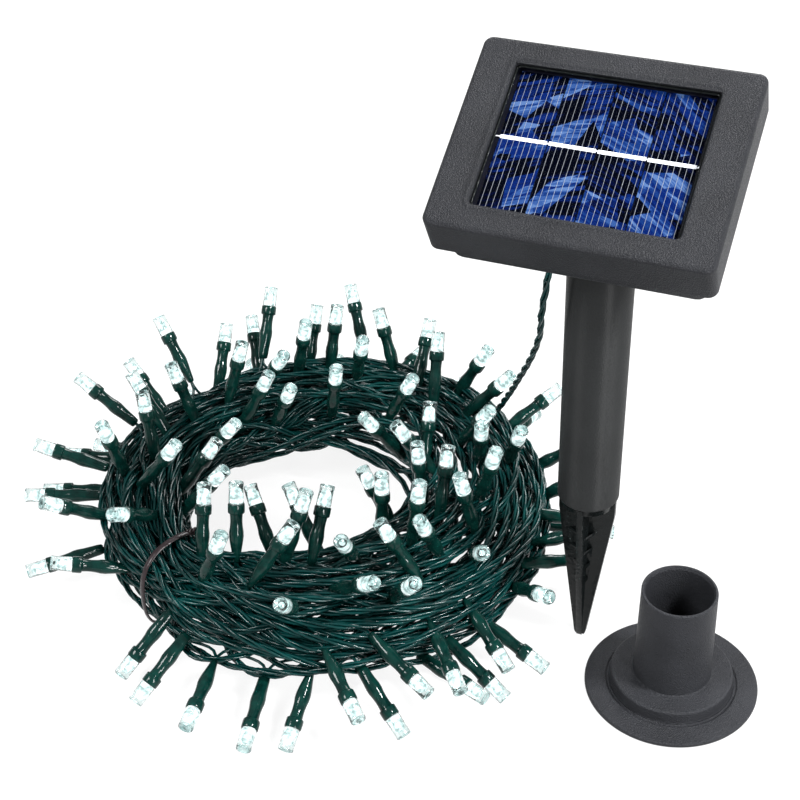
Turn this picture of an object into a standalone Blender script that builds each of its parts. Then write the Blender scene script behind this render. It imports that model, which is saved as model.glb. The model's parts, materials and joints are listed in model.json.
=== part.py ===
"""Solar string lights: a solar head on a pole with a ground spike, a loose base stand,
and a coil of twisted lamp cord. Units in the helpers are millimetres; SCALE turns them
into metres. The origin is the flat tip of the ground spike, which is also floor level."""
import math

import bmesh
import bpy
from mathutils import Matrix, Vector

SCALE = 0.001                 # helpers work in mm, Blender in metres
GAP = 0.3                     # clearance between pieces that touch

# ---- driving dimensions (mm, degrees) ----
HEAD_YAW = -22.0              # head and knuckle turned about the pole
HEAD_ELEVATION = 61.0         # elevation of the panel's normal
HINGE_Z = 189.5               # tilt hinge height, on the pole's axis
HINGE_DEPTH = 32.0            # hinge below the bezel's front face
HINGE_UP = 2.0                # hinge above the head's middle, along the slope

BEZEL_W, BEZEL_H, BEZEL_D = 90.0, 70.5, 15.5
BEZEL_R = 3.2
BEZEL_WALL = 2.0
FACE_T = 2.4                  # thickness of the bezel's front plate
WINDOW_W, WINDOW_H, WINDOW_UP = 65.0, 53.0, 0.5

HOUSING_W, HOUSING_H = 82.0, 61.5
HOUSING_BACK = 27.0           # depth of the back face
HOUSING_WALL = 2.0
FLANGE_TOP = 11.0

CELL_W, CELL_H, CELL_GAP, CELL_T = 15.1, 51.0, 0.4, 0.3
CELL_COUNT = 4

BATTERY_D, BATTERY_L = 14.2, 50.0
BAY_V = 17.6                  # battery bay's middle, along the slope
BAY_N = -16.6                 # battery axis depth
BAY_W = 58.6                  # inner length of the cradle
DOOR_W, DOOR_LOW, DOOR_PIN_V, DOOR_T = 62.0, 8.9, 26.0, 1.8

SCREW_U, SCREW_V = 36.8, 25.2
GROMMET_U, GROMMET_V = -14.0, -20.0
SWITCH_U, SWITCH_V = 12.0, -17.5
BUTTON_U, BUTTON_V = 25.5, -17.5

POLE_TOP, POLE_FOOT = 170.0, 68.5
POLE_R_TOP, POLE_R_FOOT, POLE_BORE = 11.35, 11.05, 9.85
SPIGOT_R, SPIGOT_L = 9.55, 22.0
EAR_R, EAR_IN, EAR_T = 5.0, 5.6, 3.0
BOLT_R = 2.0

SPIKE_TIP, SPIKE_R, SPIKE_WEB = 1.7, 10.4, 2.2
SPIKE_SHOULDER = 61.0
SPIKE_TURN = -23.0            # how far the spike's arms are turned about the pole
GUSSET_LOW, GUSSET_PITCH, GUSSET_COUNT, GUSSET_T, GUSSET_RISE = 24.0, 7.5, 4, 1.2, 4.5
GUSSET_SHARE = 0.5            # a gusset's reach on its second arm, as a share of the first
PLUG_L = 20.0

STAND_X, STAND_Y = 30.5, -28.5
STAND_R, STAND_STEP_R, STAND_STEP_Z = 31.7, 22.2, 7.4
SOCKET_R, SOCKET_TOP, SOCKET_MOUTH_R, SOCKET_FOOT_R = 13.6, 46.5, 12.4, 11.4

CORD_D = 2.7                  # three twisted wires, measured across all
COIL_X, COIL_Y = -101.5, 54.0
COIL_IN, COIL_OUT, COIL_LOW, COIL_HIGH = 42.0, 83.0, 0.05, 41.0
COIL_POWER = 0.7              # below 1 squares off the coil's elliptical section
TIE_AZIMUTH, TIE_HALF_W, TIE_HALF_T = 218.0, 1.5, 0.45

LAMP_L, COLLAR_R, LENS_R, LENS_L = 31.0, 3.15, 2.85, 8.0
LAMP_CLEAR = 3.2              # from the coil's section to a lamp's base
# Lamps that reach furthest out of the coil: azimuth, rise and sideways lean, in degrees
LAMPS = [(177, 4, 2), (189, -8, 10), (171, 18, -4), (246, -8, 6), (259, -14, -4),
         (297, -10, 24), (75, 48, 34), (108, 50, -34), (131, 48, 0), (154, 34, 0)]


# ---------------------------------------------------------------- scene and materials
def clear_scene():
    for obj in list(bpy.data.objects):
        bpy.data.objects.remove(obj, do_unlink=True)


def material(name, colour, roughness, metallic=0.0):
    mat = bpy.data.materials.new(name)
    mat.use_nodes = True
    bsdf = mat.node_tree.nodes["Principled BSDF"]
    bsdf.inputs["Base Color"].default_value = (*colour, 1.0)
    bsdf.inputs["Roughness"].default_value = roughness
    bsdf.inputs["Metallic"].default_value = metallic
    return mat


clear_scene()
CHARCOAL = material("charcoal_plastic", (0.040, 0.041, 0.044), 0.5)
BLACK = material("black_plastic", (0.012, 0.013, 0.014), 0.3)
GREEN = material("green_plastic", (0.008, 0.045, 0.030), 0.25)
CORD = material("cord_green", (0.005, 0.032, 0.026), 0.35)
LENS = material("lens", (0.90, 0.94, 0.95), 0.05)
CLEAR = material("panel_glaze", (0.75, 0.80, 0.85), 0.05)
CELL = material("solar_cell", (0.015, 0.04, 0.22), 0.2)
BOARD = material("circuit_board", (0.02, 0.14, 0.06), 0.5)
TINNED = material("tinned_copper", (0.80, 0.80, 0.78), 0.3, 1.0)
STEEL = material("steel", (0.55, 0.55, 0.56), 0.3, 1.0)
JACKET = material("battery_jacket", (0.05, 0.20, 0.10), 0.35)
COPPER = material("winding", (0.55, 0.25, 0.10), 0.35, 1.0)


# ---------------------------------------------------------------- frames
def hinge_frame():
    """Head axes: x along the hinge, y up the slope, z out of the panel."""
    turn = Matrix.Rotation(math.radians(HEAD_YAW), 4, "Z")
    lean = Matrix.Rotation(math.radians(90.0 - HEAD_ELEVATION), 4, "X")
    face = Matrix.Translation(Vector((0.0, -HINGE_UP, HINGE_DEPTH)))
    return Matrix.Translation(Vector((0, 0, HINGE_Z))) @ turn @ lean @ face


HEAD = hinge_frame()
KNUCKLE = Matrix.Translation(Vector((0, 0, HINGE_Z))) @ Matrix.Rotation(math.radians(HEAD_YAW), 4, "Z")
STAND = Matrix.Translation(Vector((STAND_X, STAND_Y, 0.0)))
COIL = Matrix.Translation(Vector((COIL_X, COIL_Y, 0.0)))
WORLD = Matrix.Identity(4)


def offset(u, v, n):
    return Matrix.Translation(Vector((u, v, n)))


def finish(bm, name, frame, mat, smooth_angle=35.0):
    """Turn a bmesh in mm into a placed, metre-sized object."""
    bmesh.ops.recalc_face_normals(bm, faces=bm.faces)
    mesh = bpy.data.meshes.new(name)
    bm.transform(Matrix.Scale(SCALE, 4))
    bm.to_mesh(mesh)
    bm.free()
    mesh.materials.append(mat)
    mesh.shade_smooth()
    mesh.set_sharp_from_angle(angle=math.radians(smooth_angle))
    obj = bpy.data.objects.new(name, mesh)
    bpy.context.scene.collection.objects.link(obj)
    placed = frame.copy()
    placed.translation = frame.translation * SCALE
    obj.matrix_world = placed
    return obj


def combine(obj, other, operation):
    """Boolean against a helper body, which stays hidden."""
    other.hide_render = True
    other.display_type = "WIRE"
    mod = obj.modifiers.new(operation.lower(), "BOOLEAN")
    mod.operation = operation
    mod.object = other
    mod.solver = "EXACT"


# ---------------------------------------------------------------- shape builders (mm)
def rounded_rect(width, height, radius, steps=4, centre=(0.0, 0.0)):
    points = []
    for corner in range(4):
        sx = (1, -1, -1, 1)[corner]
        sy = (1, 1, -1, -1)[corner]
        cx = centre[0] + sx * (width / 2 - radius)
        cy = centre[1] + sy * (height / 2 - radius)
        for step in range(steps + 1):
            angle = math.radians(90.0 * corner + 90.0 * step / steps)
            points.append((cx + radius * math.cos(angle), cy + radius * math.sin(angle)))
    return points


def circle(radius, steps, centre=(0.0, 0.0), turn=0.0):
    return [(centre[0] + radius * math.cos(turn + 2 * math.pi * i / steps),
             centre[1] + radius * math.sin(turn + 2 * math.pi * i / steps)) for i in range(steps)]


def stack(rings, capped=True):
    """Bridge a list of (outline, z) rings into one body; uncapped joins the last to the first."""
    bm = bmesh.new()
    loops = [[bm.verts.new((x, y, z)) for x, y in outline] for outline, z in rings]
    pairs = list(zip(loops, loops[1:]))
    if not capped:
        pairs.append((loops[-1], loops[0]))
    for lower, upper in pairs:
        count = len(lower)
        for i in range(count):
            j = (i + 1) % count
            bm.faces.new((lower[i], lower[j], upper[j], upper[i]))
    if capped:
        bm.faces.new(loops[0])
        bm.faces.new(loops[-1])
    return bm


def lathe(profile, steps):
    """Turn a profile of (radius, z) points; zero radius ends close on the axis."""
    bm = bmesh.new()
    loops = []
    for radius, z in profile:
        if radius == 0.0:
            loops.append([bm.verts.new((0, 0, z))])
        else:
            loops.append([bm.verts.new((x, y, z)) for x, y in circle(radius, steps)])
    closed = profile[0][0] != 0.0
    pairs = list(zip(loops, loops[1:])) + ([(loops[-1], loops[0])] if closed else [])
    for lower, upper in pairs:
        for i in range(steps):
            j = (i + 1) % steps
            corners = [lower[i % len(lower)], lower[j % len(lower)], upper[j % len(upper)], upper[i % len(upper)]]
            bm.faces.new(list(dict.fromkeys(corners)))
    return bm


def box(width, height, low, high, radius=0.6, steps=2, centre=(0.0, 0.0)):
    outline = rounded_rect(width, height, radius, steps, centre)
    return stack([(outline, low), (outline, high)])


def rod(radius, low, high, steps=20, centre=(0.0, 0.0)):
    outline = circle(radius, steps, centre)
    return stack([(outline, low), (outline, high)])


def along_x(bm):
    """Lay a body built along z down along x."""
    bm.transform(Matrix.Rotation(math.radians(90.0), 4, "Y"))
    return bm


# ---------------------------------------------------------------- head
def make_bezel():
    inner_w, inner_h = BEZEL_W - 2 * BEZEL_WALL, BEZEL_H - 2 * BEZEL_WALL
    up = (0.0, WINDOW_UP)
    edge = 1.5
    rings = [(rounded_rect(BEZEL_W, BEZEL_H, BEZEL_R), -BEZEL_D)]
    for step in range(4):
        angle = math.radians(30.0 * step)
        inset = edge * (1 - math.cos(angle))
        z = -edge + edge * math.sin(angle)
        rings.append((rounded_rect(BEZEL_W - 2 * inset, BEZEL_H - 2 * inset, BEZEL_R - inset), z))
    rings += [
        (rounded_rect(WINDOW_W + 1.4, WINDOW_H + 1.4, 2.2, centre=up), 0.0),
        (rounded_rect(WINDOW_W + 0.4, WINDOW_H + 0.4, 1.9, centre=up), -0.35),
        (rounded_rect(WINDOW_W, WINDOW_H, 1.7, centre=up), -1.0),
        (rounded_rect(WINDOW_W, WINDOW_H, 1.7, centre=up), -FACE_T),
        (rounded_rect(inner_w, inner_h, BEZEL_R - BEZEL_WALL), -FACE_T),
        (rounded_rect(inner_w, inner_h, BEZEL_R - BEZEL_WALL), -BEZEL_D),
    ]
    bezel = finish(stack(rings, capped=False), "bezel_frame", HEAD, CHARCOAL)
    for side_u, side_v in ((1, 1), (-1, 1), (-1, -1), (1, -1)):
        spot = (side_u * SCREW_U, side_v * SCREW_V)
        boss = stack([(circle(1.15, 12, spot), -10.7), (circle(2.4, 12, spot), -10.7),
                      (circle(2.4, 12, spot), -FACE_T + 0.4), (circle(1.15, 12, spot), -FACE_T + 0.4)],
                     capped=False)
        combine(bezel, finish(boss, "cut_boss_" + str(len(bezel.modifiers)), HEAD, CHARCOAL), "UNION")
    return bezel


def make_panel():
    up = (0.0, WINDOW_UP)
    glaze = box(WINDOW_W + 2.6, WINDOW_H + 2.6, -3.3, -FACE_T - GAP, 1.0, 3, up)
    finish(glaze, "panel_glaze", HEAD, CLEAR)
    pitch = CELL_W + CELL_GAP
    for index in range(CELL_COUNT):
        u = (index - (CELL_COUNT - 1) / 2) * pitch
        cell = box(CELL_W, CELL_H, -4.2, -4.2 + CELL_T, 0.2, 1, (u, WINDOW_UP))
        finish(cell, "solar_cell_" + str(index + 1), HEAD, CELL)
    ribbon = box(WINDOW_W - 0.4, 1.4, -3.68, -3.58, 0.3, 1, (0.0, 1.2))
    finish(ribbon, "cell_ribbon", HEAD, TINNED)
    board = box(WINDOW_W + 2.6, WINDOW_H + 2.6, -6.1, -4.5, 1.0, 3, up)
    finish(board, "panel_board", HEAD, BOARD)


def make_housing():
    flange_w, flange_h = BEZEL_W - 2 * BEZEL_WALL - 2 * GAP, BEZEL_H - 2 * BEZEL_WALL - 2 * GAP
    inner_w, inner_h = HOUSING_W - 2 * HOUSING_WALL, HOUSING_H - 2 * HOUSING_WALL
    back = -HOUSING_BACK
    floor = back + HOUSING_WALL
    edge = 1.4
    rings = [
        (rounded_rect(inner_w, inner_h, 2.2), floor),
        (rounded_rect(inner_w, inner_h, 2.2), -FLANGE_TOP),
        (rounded_rect(flange_w, flange_h, 2.4), -FLANGE_TOP),
        (rounded_rect(flange_w, flange_h, 2.4), -BEZEL_D),
        (rounded_rect(HOUSING_W, HOUSING_H, 4.0), -BEZEL_D),
        (rounded_rect(HOUSING_W, HOUSING_H, 4.0), back + edge),
        (rounded_rect(HOUSING_W - 0.8, HOUSING_H - 0.8, 3.6), back + 0.4),
        (rounded_rect(HOUSING_W - 2.8, HOUSING_H - 2.8, 2.8), back),
    ]
    housing = finish(stack(rings), "back_housing", HEAD, CHARCOAL)
    parts = [("ear_left", -(EAR_IN + EAR_T)), ("ear_right", EAR_IN)]
    for name, start in parts:
        outline = [(HOUSING_BACK - 0.6, HINGE_UP - 6.4), (HOUSING_BACK - 0.6, HINGE_UP + 6.4)]
        for step in range(13):
            angle = math.radians(90.0 - 180.0 * step / 12)
            outline.append((HINGE_DEPTH + EAR_R * math.cos(angle), HINGE_UP + EAR_R * math.sin(angle)))
        ear = along_x(stack([(outline, start), (outline, start + EAR_T)]))
        combine(housing, finish(ear, "cut_" + name, HEAD, CHARCOAL), "UNION")
    cutters = [
        along_x(rod(BOLT_R + 0.3, -12.0, 12.0, 20, (HINGE_DEPTH, HINGE_UP))),
        box(DOOR_W + 1.0, DOOR_PIN_V + 1.7 - DOOR_LOW + 0.5, back - 1, floor + 1, 0.8, 2,
            (0.0, (DOOR_PIN_V + 1.7 + DOOR_LOW - 0.5) / 2)),
        box(11.0, 4.4, back - 1, floor + 1, 0.8, 2, (SWITCH_U, SWITCH_V)),
        rod(3.5, back - 1, floor + 1, 24, (BUTTON_U, BUTTON_V)),
        rod(2.6, back - 1, floor + 1, 20, (GROMMET_U, GROMMET_V)),
        along_x(rod(0.62, -DOOR_W / 2 - 2.4, DOOR_W / 2 + 2.4, 12, (HOUSING_BACK - 1.15, DOOR_PIN_V))),
    ]
    for side_u, side_v in ((1, 1), (-1, 1), (-1, -1), (1, -1)):
        spot = (side_u * SCREW_U, side_v * SCREW_V)
        pillar = rod(2.5, floor - 0.5, -FLANGE_TOP - 0.3, 12, spot)
        name = "cut_pillar_" + str(len(housing.modifiers))
        combine(housing, finish(pillar, name, HEAD, CHARCOAL), "UNION")
        cutters.append(rod(1.5, back - 1, -FLANGE_TOP + 1, 12, spot))
        cutters.append(rod(2.7, back - 1, back + 1.3, 16, spot))
    for index, bm in enumerate(cutters):
        combine(housing, finish(bm, "cut_housing_" + str(index), HEAD, CHARCOAL), "DIFFERENCE")
    return housing


def make_screws():
    for index, (side_u, side_v) in enumerate(((1, 1), (-1, 1), (-1, -1), (1, -1))):
        spot = offset(side_u * SCREW_U, side_v * SCREW_V, -HOUSING_BACK)
        profile = [(0.0, 0.1), (1.8, 0.1), (2.3, 0.45), (2.35, 0.95), (1.0, 1.0), (1.0, 17.6), (0.0, 18.4)]
        screw = finish(lathe(profile, 16), "housing_screw_" + str(index + 1), HEAD @ spot, STEEL)
        for turn in range(2):
            slot = box(3.0, 0.6, -0.3, 0.55, 0.1, 1)
            slot.transform(Matrix.Rotation(math.radians(90.0 * turn), 4, "Z"))
            name = "cut_screw_%d_%d" % (index, turn)
            combine(screw, finish(slot, name, HEAD @ spot, STEEL), "DIFFERENCE")


def make_battery_bay():
    low, high = -HOUSING_BACK + HOUSING_WALL + GAP, -8.2
    centre = (0.0, BAY_V)
    outer = rounded_rect(BAY_W + 2.4, 17.6, 1.6, 3, centre)
    inner = rounded_rect(BAY_W, 15.2, 0.8, 3, centre)
    cradle = stack([(inner, high - 1.2), (inner, low), (outer, low), (outer, high)])
    finish(cradle, "battery_cradle", HEAD, BLACK)
    nub, end = 1.5, BATTERY_L
    radius = BATTERY_D / 2
    profile = [(0.0, 0.0), (radius - 0.8, 0.0), (radius, 0.8), (radius, end - nub - 0.8),
               (radius - 0.8, end - nub), (2.75, end - nub), (2.75, end - 0.2), (2.5, end), (0.0, end)]
    battery = along_x(lathe(profile, 28))
    finish(battery, "battery_cell", HEAD @ offset(-BATTERY_L / 2 + 2.4, BAY_V, BAY_N), JACKET)
    for name, u in (("contact_plate_positive", BAY_W / 2 - 0.8), ("contact_plate_negative", -BAY_W / 2 + 0.3)):
        plate = along_x(stack([(rounded_rect(11.0, 11.0, 1.0, 2), 0.0), (rounded_rect(11.0, 11.0, 1.0, 2), 0.5)]))
        finish(plate, name, HEAD @ offset(u, BAY_V, BAY_N), STEEL)
    make_spring(-BAY_W / 2 + 1.1, -BATTERY_L / 2 + 2.4 - GAP)


def make_spring(start, end):
    """Conical contact spring, a closed coil wire swept along a shrinking helix."""
    wire, turns, per_turn = 0.35, 3.0, 12
    curve = bpy.data.curves.new("contact_spring", "CURVE")
    curve.dimensions = "3D"
    curve.bevel_depth = wire * SCALE
    curve.bevel_resolution = 1
    curve.use_fill_caps = True
    curve.render_resolution_u = 0
    spline = curve.splines.new("POLY")
    count = int(turns * per_turn) + 1
    spline.points.add(count - 1)
    for i in range(count):
        t = i / (count - 1)
        angle = 2 * math.pi * turns * t
        radius = 4.6 - 2.2 * t
        u = start + wire + (end - start - 2 * wire) * t
        place = Vector((u, radius * math.cos(angle), radius * math.sin(angle))) * SCALE
        spline.points[i].co = (*place, 1.0)
    curve.materials.append(STEEL)
    obj = bpy.data.objects.new("contact_spring", curve)
    bpy.context.scene.collection.objects.link(obj)
    placed = HEAD @ offset(0.0, BAY_V, BAY_N)
    placed.translation = placed.translation * SCALE
    obj.matrix_world = placed


def make_door():
    low, high = -HOUSING_BACK, -HOUSING_BACK + DOOR_T
    middle = (DOOR_LOW + DOOR_PIN_V - 1.0) / 2
    height = DOOR_PIN_V - 1.0 - DOOR_LOW
    door = finish(box(DOOR_W, height, low, high - 0.1, 0.8, 2, (0.0, middle)), "battery_door", HEAD, CHARCOAL)
    barrel = along_x(rod(1.0, -DOOR_W / 2, DOOR_W / 2, 14, (HOUSING_BACK - 1.15, DOOR_PIN_V)))
    combine(door, finish(barrel, "cut_door_barrel", HEAD, CHARCOAL), "UNION")
    strap = box(DOOR_W, 3.0, low + 0.35, high - 0.2, 0.3, 1, (0.0, DOOR_PIN_V - 1.2))
    combine(door, finish(strap, "cut_door_strap", HEAD, CHARCOAL), "UNION")
    pin_hole = along_x(rod(0.62, -DOOR_W / 2 - 1, DOOR_W / 2 + 1, 12, (HOUSING_BACK - 1.15, DOOR_PIN_V)))
    combine(door, finish(pin_hole, "cut_door_pin", HEAD, CHARCOAL), "DIFFERENCE")
    pin = along_x(rod(0.32, -DOOR_W / 2 - 2.0, DOOR_W / 2 + 2.0, 8, (HOUSING_BACK - 1.15, DOOR_PIN_V)))
    finish(pin, "door_hinge_pin", HEAD, STEEL)


def make_electronics():
    board_low, board_high = -20.6, -19.4
    board = box(40.0, 19.0, board_low, board_high, 1.0, 2, (12.5, -15.0))
    finish(board, "circuit_board", HEAD, BOARD)
    top = board_high + GAP
    finish(box(4.9, 3.9, top, top + 1.5, 0.2, 1, (2.0, -14.0)), "driver_chip", HEAD, BLACK)
    drum = [(0.0, 0.0), (3.0, 0.0), (3.0, 1.0), (1.9, 1.0), (1.9, 3.6), (3.0, 3.6), (3.0, 4.6), (0.0, 4.6)]
    finish(lathe(drum, 20), "boost_inductor", HEAD @ offset(11.0, -20.0, top), COPPER)
    can = [(0.0, 0.0), (2.5, 0.0), (2.5, 6.6), (2.2, 7.0), (0.0, 7.0)]
    finish(lathe(can, 20), "storage_capacitor", HEAD @ offset(22.0, -13.0, top), STEEL)
    below = board_low - GAP
    finish(box(10.0, 5.0, below - 3.2, below, 0.4, 1, (SWITCH_U, SWITCH_V)), "switch_body", HEAD, STEEL)
    finish(box(6.0, 6.0, below - 2.4, below, 0.4, 1, (BUTTON_U, BUTTON_V)), "button_switch", HEAD, BLACK)


def make_controls():
    outside = -HOUSING_BACK - 1.3
    slider = stack([(rounded_rect(4.4, 3.2, 0.5, 2), outside), (rounded_rect(4.8, 3.6, 0.5, 2), outside + 0.4),
                    (rounded_rect(4.8, 3.6, 0.5, 2), -24.45)])
    finish(slider, "power_slider", HEAD @ offset(SWITCH_U - 2.5, SWITCH_V, 0.0), BLACK)
    cap = lathe([(0.0, -HOUSING_BACK - 1.0), (2.6, -HOUSING_BACK - 1.0), (3.1, -HOUSING_BACK - 0.5),
                 (3.1, -24.4), (0.0, -24.4)], 24)
    finish(cap, "mode_button", HEAD @ offset(BUTTON_U, BUTTON_V, 0.0), BLACK)


def make_grommet():
    """Tapered strain relief with a waist that sits in the housing's hole."""
    profile = [(CORD_D / 2 + 0.3, 0.0), (3.6, 0.0), (3.6, -1.4), (2.3, -1.7), (2.3, -4.3), (3.7, -4.6),
               (3.7, -5.6), (3.1, -6.4), (2.6, -14.0), (CORD_D / 2 + 0.3, -14.0)]
    place = HEAD @ offset(GROMMET_U, GROMMET_V, -HOUSING_BACK + HOUSING_WALL + 2.0)
    finish(lathe(profile[::-1], 20), "cable_grommet", place, BLACK)


# ---------------------------------------------------------------- knuckle, pole, spike, stand
def make_knuckle():
    collar_low = POLE_TOP + GAP - HINGE_Z
    collar_top = collar_low + 2.8
    reach = EAR_R - 0.4
    half = EAR_IN - GAP
    outline = [(-collar_low - 1.5, -reach), (-collar_low - 1.5, reach)]
    for step in range(13):
        angle = math.radians(90.0 + 180.0 * step / 12)
        outline.append((reach * math.cos(angle), reach * math.sin(angle)))
    tongue = along_x(stack([(outline, -half), (outline, half)]))
    knuckle = finish(tongue, "tilt_knuckle", KNUCKLE, CHARCOAL)
    stub_low = collar_low - GAP - SPIGOT_L
    wall = SPIGOT_R - 1.8
    profile = [(wall, stub_low), (SPIGOT_R - 0.6, stub_low), (SPIGOT_R, stub_low + 1.0), (SPIGOT_R, collar_low),
               (POLE_R_TOP, collar_low), (POLE_R_TOP, collar_top - 0.8), (POLE_R_TOP - 0.8, collar_top),
               (0.0, collar_top)]
    closed = [(0.0, collar_low - 1.0), (wall, collar_low - 1.0)] + profile
    combine(knuckle, finish(lathe(closed, 48), "cut_stub", KNUCKLE, CHARCOAL), "UNION")
    bore = along_x(rod(BOLT_R + 0.3, -half - 2, half + 2, 20))
    combine(knuckle, finish(bore, "cut_knuckle_bore", KNUCKLE, CHARCOAL), "DIFFERENCE")


def make_hinge_bolt():
    axis = HEAD @ offset(0.0, HINGE_UP, -HINGE_DEPTH)
    side = EAR_IN + EAR_T
    profile = [(0.0, -side - 3.3), (2.4, -side - 3.2), (3.8, -side - 2.2), (3.8, -side - GAP),
               (BOLT_R, -side - GAP), (BOLT_R, side + 5.6), (BOLT_R - 0.4, side + 6.0), (0.0, side + 6.0)]
    finish(along_x(lathe(profile, 24)), "hinge_bolt", axis, STEEL)
    washer = stack([(circle(2.3, 24), side + GAP), (circle(4.4, 24), side + GAP),
                    (circle(4.4, 24), side + 1.1), (circle(2.3, 24), side + 1.1)], capped=False)
    finish(along_x(washer), "hinge_washer", axis, STEEL)
    low, high = side + 1.4, side + 4.6
    nut = stack([(circle(2.3, 24), low), (hexagon(3.6), low), (hexagon(4.0), low + 0.5),
                 (hexagon(4.0), high - 0.5), (hexagon(3.6), high), (circle(2.3, 24), high)], capped=False)
    finish(along_x(nut), "hinge_nut", axis, STEEL)


def hexagon(apothem, per_side=4):
    """Hexagon outline with the same point count as a 24-point circle."""
    points = []
    radius = apothem / math.cos(math.radians(30.0))
    for side in range(6):
        a, b = math.radians(60.0 * side), math.radians(60.0 * side + 60.0)
        for step in range(per_side):
            t = step / per_side
            points.append((radius * ((1 - t) * math.cos(a) + t * math.cos(b)),
                           radius * ((1 - t) * math.sin(a) + t * math.sin(b))))
    return points


def make_pole():
    profile = [(POLE_BORE, POLE_FOOT), (POLE_R_FOOT - 0.5, POLE_FOOT), (POLE_R_FOOT, POLE_FOOT + 1.2),
               (POLE_R_TOP, POLE_TOP - 0.4), (POLE_R_TOP - 0.4, POLE_TOP), (POLE_BORE, POLE_TOP)]
    finish(lathe(profile, 48), "pole_tube", WORLD, CHARCOAL)


def spike_outline(half_width, half_web):
    """Plus-shaped outline, 12 points, arms along x and y."""
    a, w = half_width, half_web
    return [(a, w), (w, w), (w, a), (-w, a), (-w, w), (-a, w), (-a, -w), (-w, -w), (-w, -a), (w, -a), (w, -w),
            (a, -w)]


def make_spike():
    web = SPIKE_WEB / 2
    rings = [(spike_outline(SPIKE_TIP, web), 0.0), (spike_outline(SPIKE_TIP + 0.5, web), 1.2),
             (spike_outline(SPIKE_R, web), SPIKE_SHOULDER), (spike_outline(SPIKE_R, web), POLE_FOOT - GAP)]
    turn = Matrix.Rotation(math.radians(SPIKE_TURN), 4, "Z")
    spike = finish(stack(rings), "ground_spike", turn, BLACK, 20.0)
    plug_low, plug_top = POLE_FOOT - 3.0, POLE_FOOT + PLUG_L
    plug = lathe([(0.0, plug_low), (POLE_BORE - GAP, plug_low), (POLE_BORE - GAP, plug_top - 1.0),
                  (POLE_BORE - 1.2, plug_top), (0.0, plug_top)], 32)
    combine(spike, finish(plug, "cut_spike_plug", WORLD, BLACK), "UNION")
    for index in range(GUSSET_COUNT):
        low = GUSSET_LOW + GUSSET_PITCH * index
        for quadrant in range(4):
            gusset = make_gusset(low, quadrant)
            name = "cut_gusset_%d_%d" % (index, quadrant)
            combine(spike, finish(gusset, name, turn, BLACK), "UNION")


def spike_half_width(z):
    return SPIKE_TIP + (SPIKE_R - SPIKE_TIP) * min(1.0, z / SPIKE_SHOULDER)


def make_gusset(low, quadrant):
    """Slanted web across one quadrant: a thin triangle that rises outwards."""
    inner = 0.4
    reach = spike_half_width(low) - 0.5
    bm = bmesh.new()
    corners = [(inner, inner, 0.0), (reach, inner, GUSSET_RISE), (inner, reach * GUSSET_SHARE, GUSSET_RISE)]
    lower = [bm.verts.new((x, y, low + z)) for x, y, z in corners]
    upper = [bm.verts.new((x, y, low + z + GUSSET_T)) for x, y, z in corners]
    bm.faces.new(lower[::-1])
    bm.faces.new(upper)
    for i in range(3):
        j = (i + 1) % 3
        bm.faces.new((lower[i], lower[j], upper[j], upper[i]))
    bm.transform(Matrix.Rotation(math.radians(90.0 * quadrant), 4, "Z"))
    return bm


def make_stand():
    floor = 3.0
    profile = [
        (0.0, 0.0), (STAND_R - 0.4, 0.0), (STAND_R, 0.5), (STAND_R - 0.1, 1.3), (STAND_R - 0.5, 1.7),
        (STAND_STEP_R + 1.4, 2.5), (STAND_STEP_R + 0.9, 2.2), (STAND_STEP_R + 0.5, 2.5),
        (STAND_STEP_R, STAND_STEP_Z - 0.8), (STAND_STEP_R - 0.8, STAND_STEP_Z),
        (SOCKET_R + 0.9, STAND_STEP_Z + 0.4), (SOCKET_R + 0.2, STAND_STEP_Z + 1.4),
        (SOCKET_R, SOCKET_TOP - 0.4), (SOCKET_R - 0.4, SOCKET_TOP), (SOCKET_MOUTH_R + 0.4, SOCKET_TOP),
        (SOCKET_MOUTH_R - 0.3, SOCKET_TOP - 1.2), (SOCKET_FOOT_R, 16.0), (SOCKET_FOOT_R, floor), (0.0, floor),
    ]
    finish(lathe(profile, 56), "base_stand", STAND, CHARCOAL)


# ---------------------------------------------------------------- cord, coil and lamps
def smooth_route(points, per_span):
    """Catmull-Rom curve through the route's own points."""
    ends = [points[0] * 2 - points[1]] + points + [points[-1] * 2 - points[-2]]
    path = []
    for i in range(1, len(ends) - 2):
        p0, p1, p2, p3 = ends[i - 1:i + 3]
        for step in range(per_span):
            t = step / per_span
            path.append(0.5 * ((2 * p1) + (p2 - p0) * t + (2 * p0 - 5 * p1 + 4 * p2 - p3) * t ** 2
                               + (3 * p1 - p0 - 3 * p2 + p3) * t ** 3))
    path.append(points[-1])
    return path


def lead_route():
    """From the strain relief's end straight out of the back, then hanging down to the coil's top."""
    exit_n = -HOUSING_BACK + HOUSING_WALL + 2.0 - 14.0 - GAP
    leave = [HEAD @ Vector((GROMMET_U, GROMMET_V, exit_n - step)) for step in (0.0, 7.0)]
    hang = [Vector(p) for p in ((-18.9, 1.5, 146.0), (-18.4, 10.5, 131.0), (-19.8, 23.0, 113.0),
                                (-22.6, 41.0, 90.5), (-25.2, 60.0, 68.5), (-28.6, 78.0, 48.5), (-34.0, 93.0, 41.5))]
    return leave + hang


def make_lead():
    path = smooth_route(lead_route(), 4)
    curve = bpy.data.curves.new("lead_cord", "CURVE")
    curve.dimensions = "3D"
    curve.bevel_depth = CORD_D / 2 * SCALE
    curve.bevel_resolution = 2
    curve.use_fill_caps = True
    curve.render_resolution_u = 0
    spline = curve.splines.new("POLY")
    spline.points.add(len(path) - 1)
    for point, place in zip(spline.points, path):
        point.co = (*(place * SCALE), 1.0)
    curve.materials.append(CORD)
    obj = bpy.data.objects.new("lead_cord", curve)
    bpy.context.scene.collection.objects.link(obj)


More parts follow.
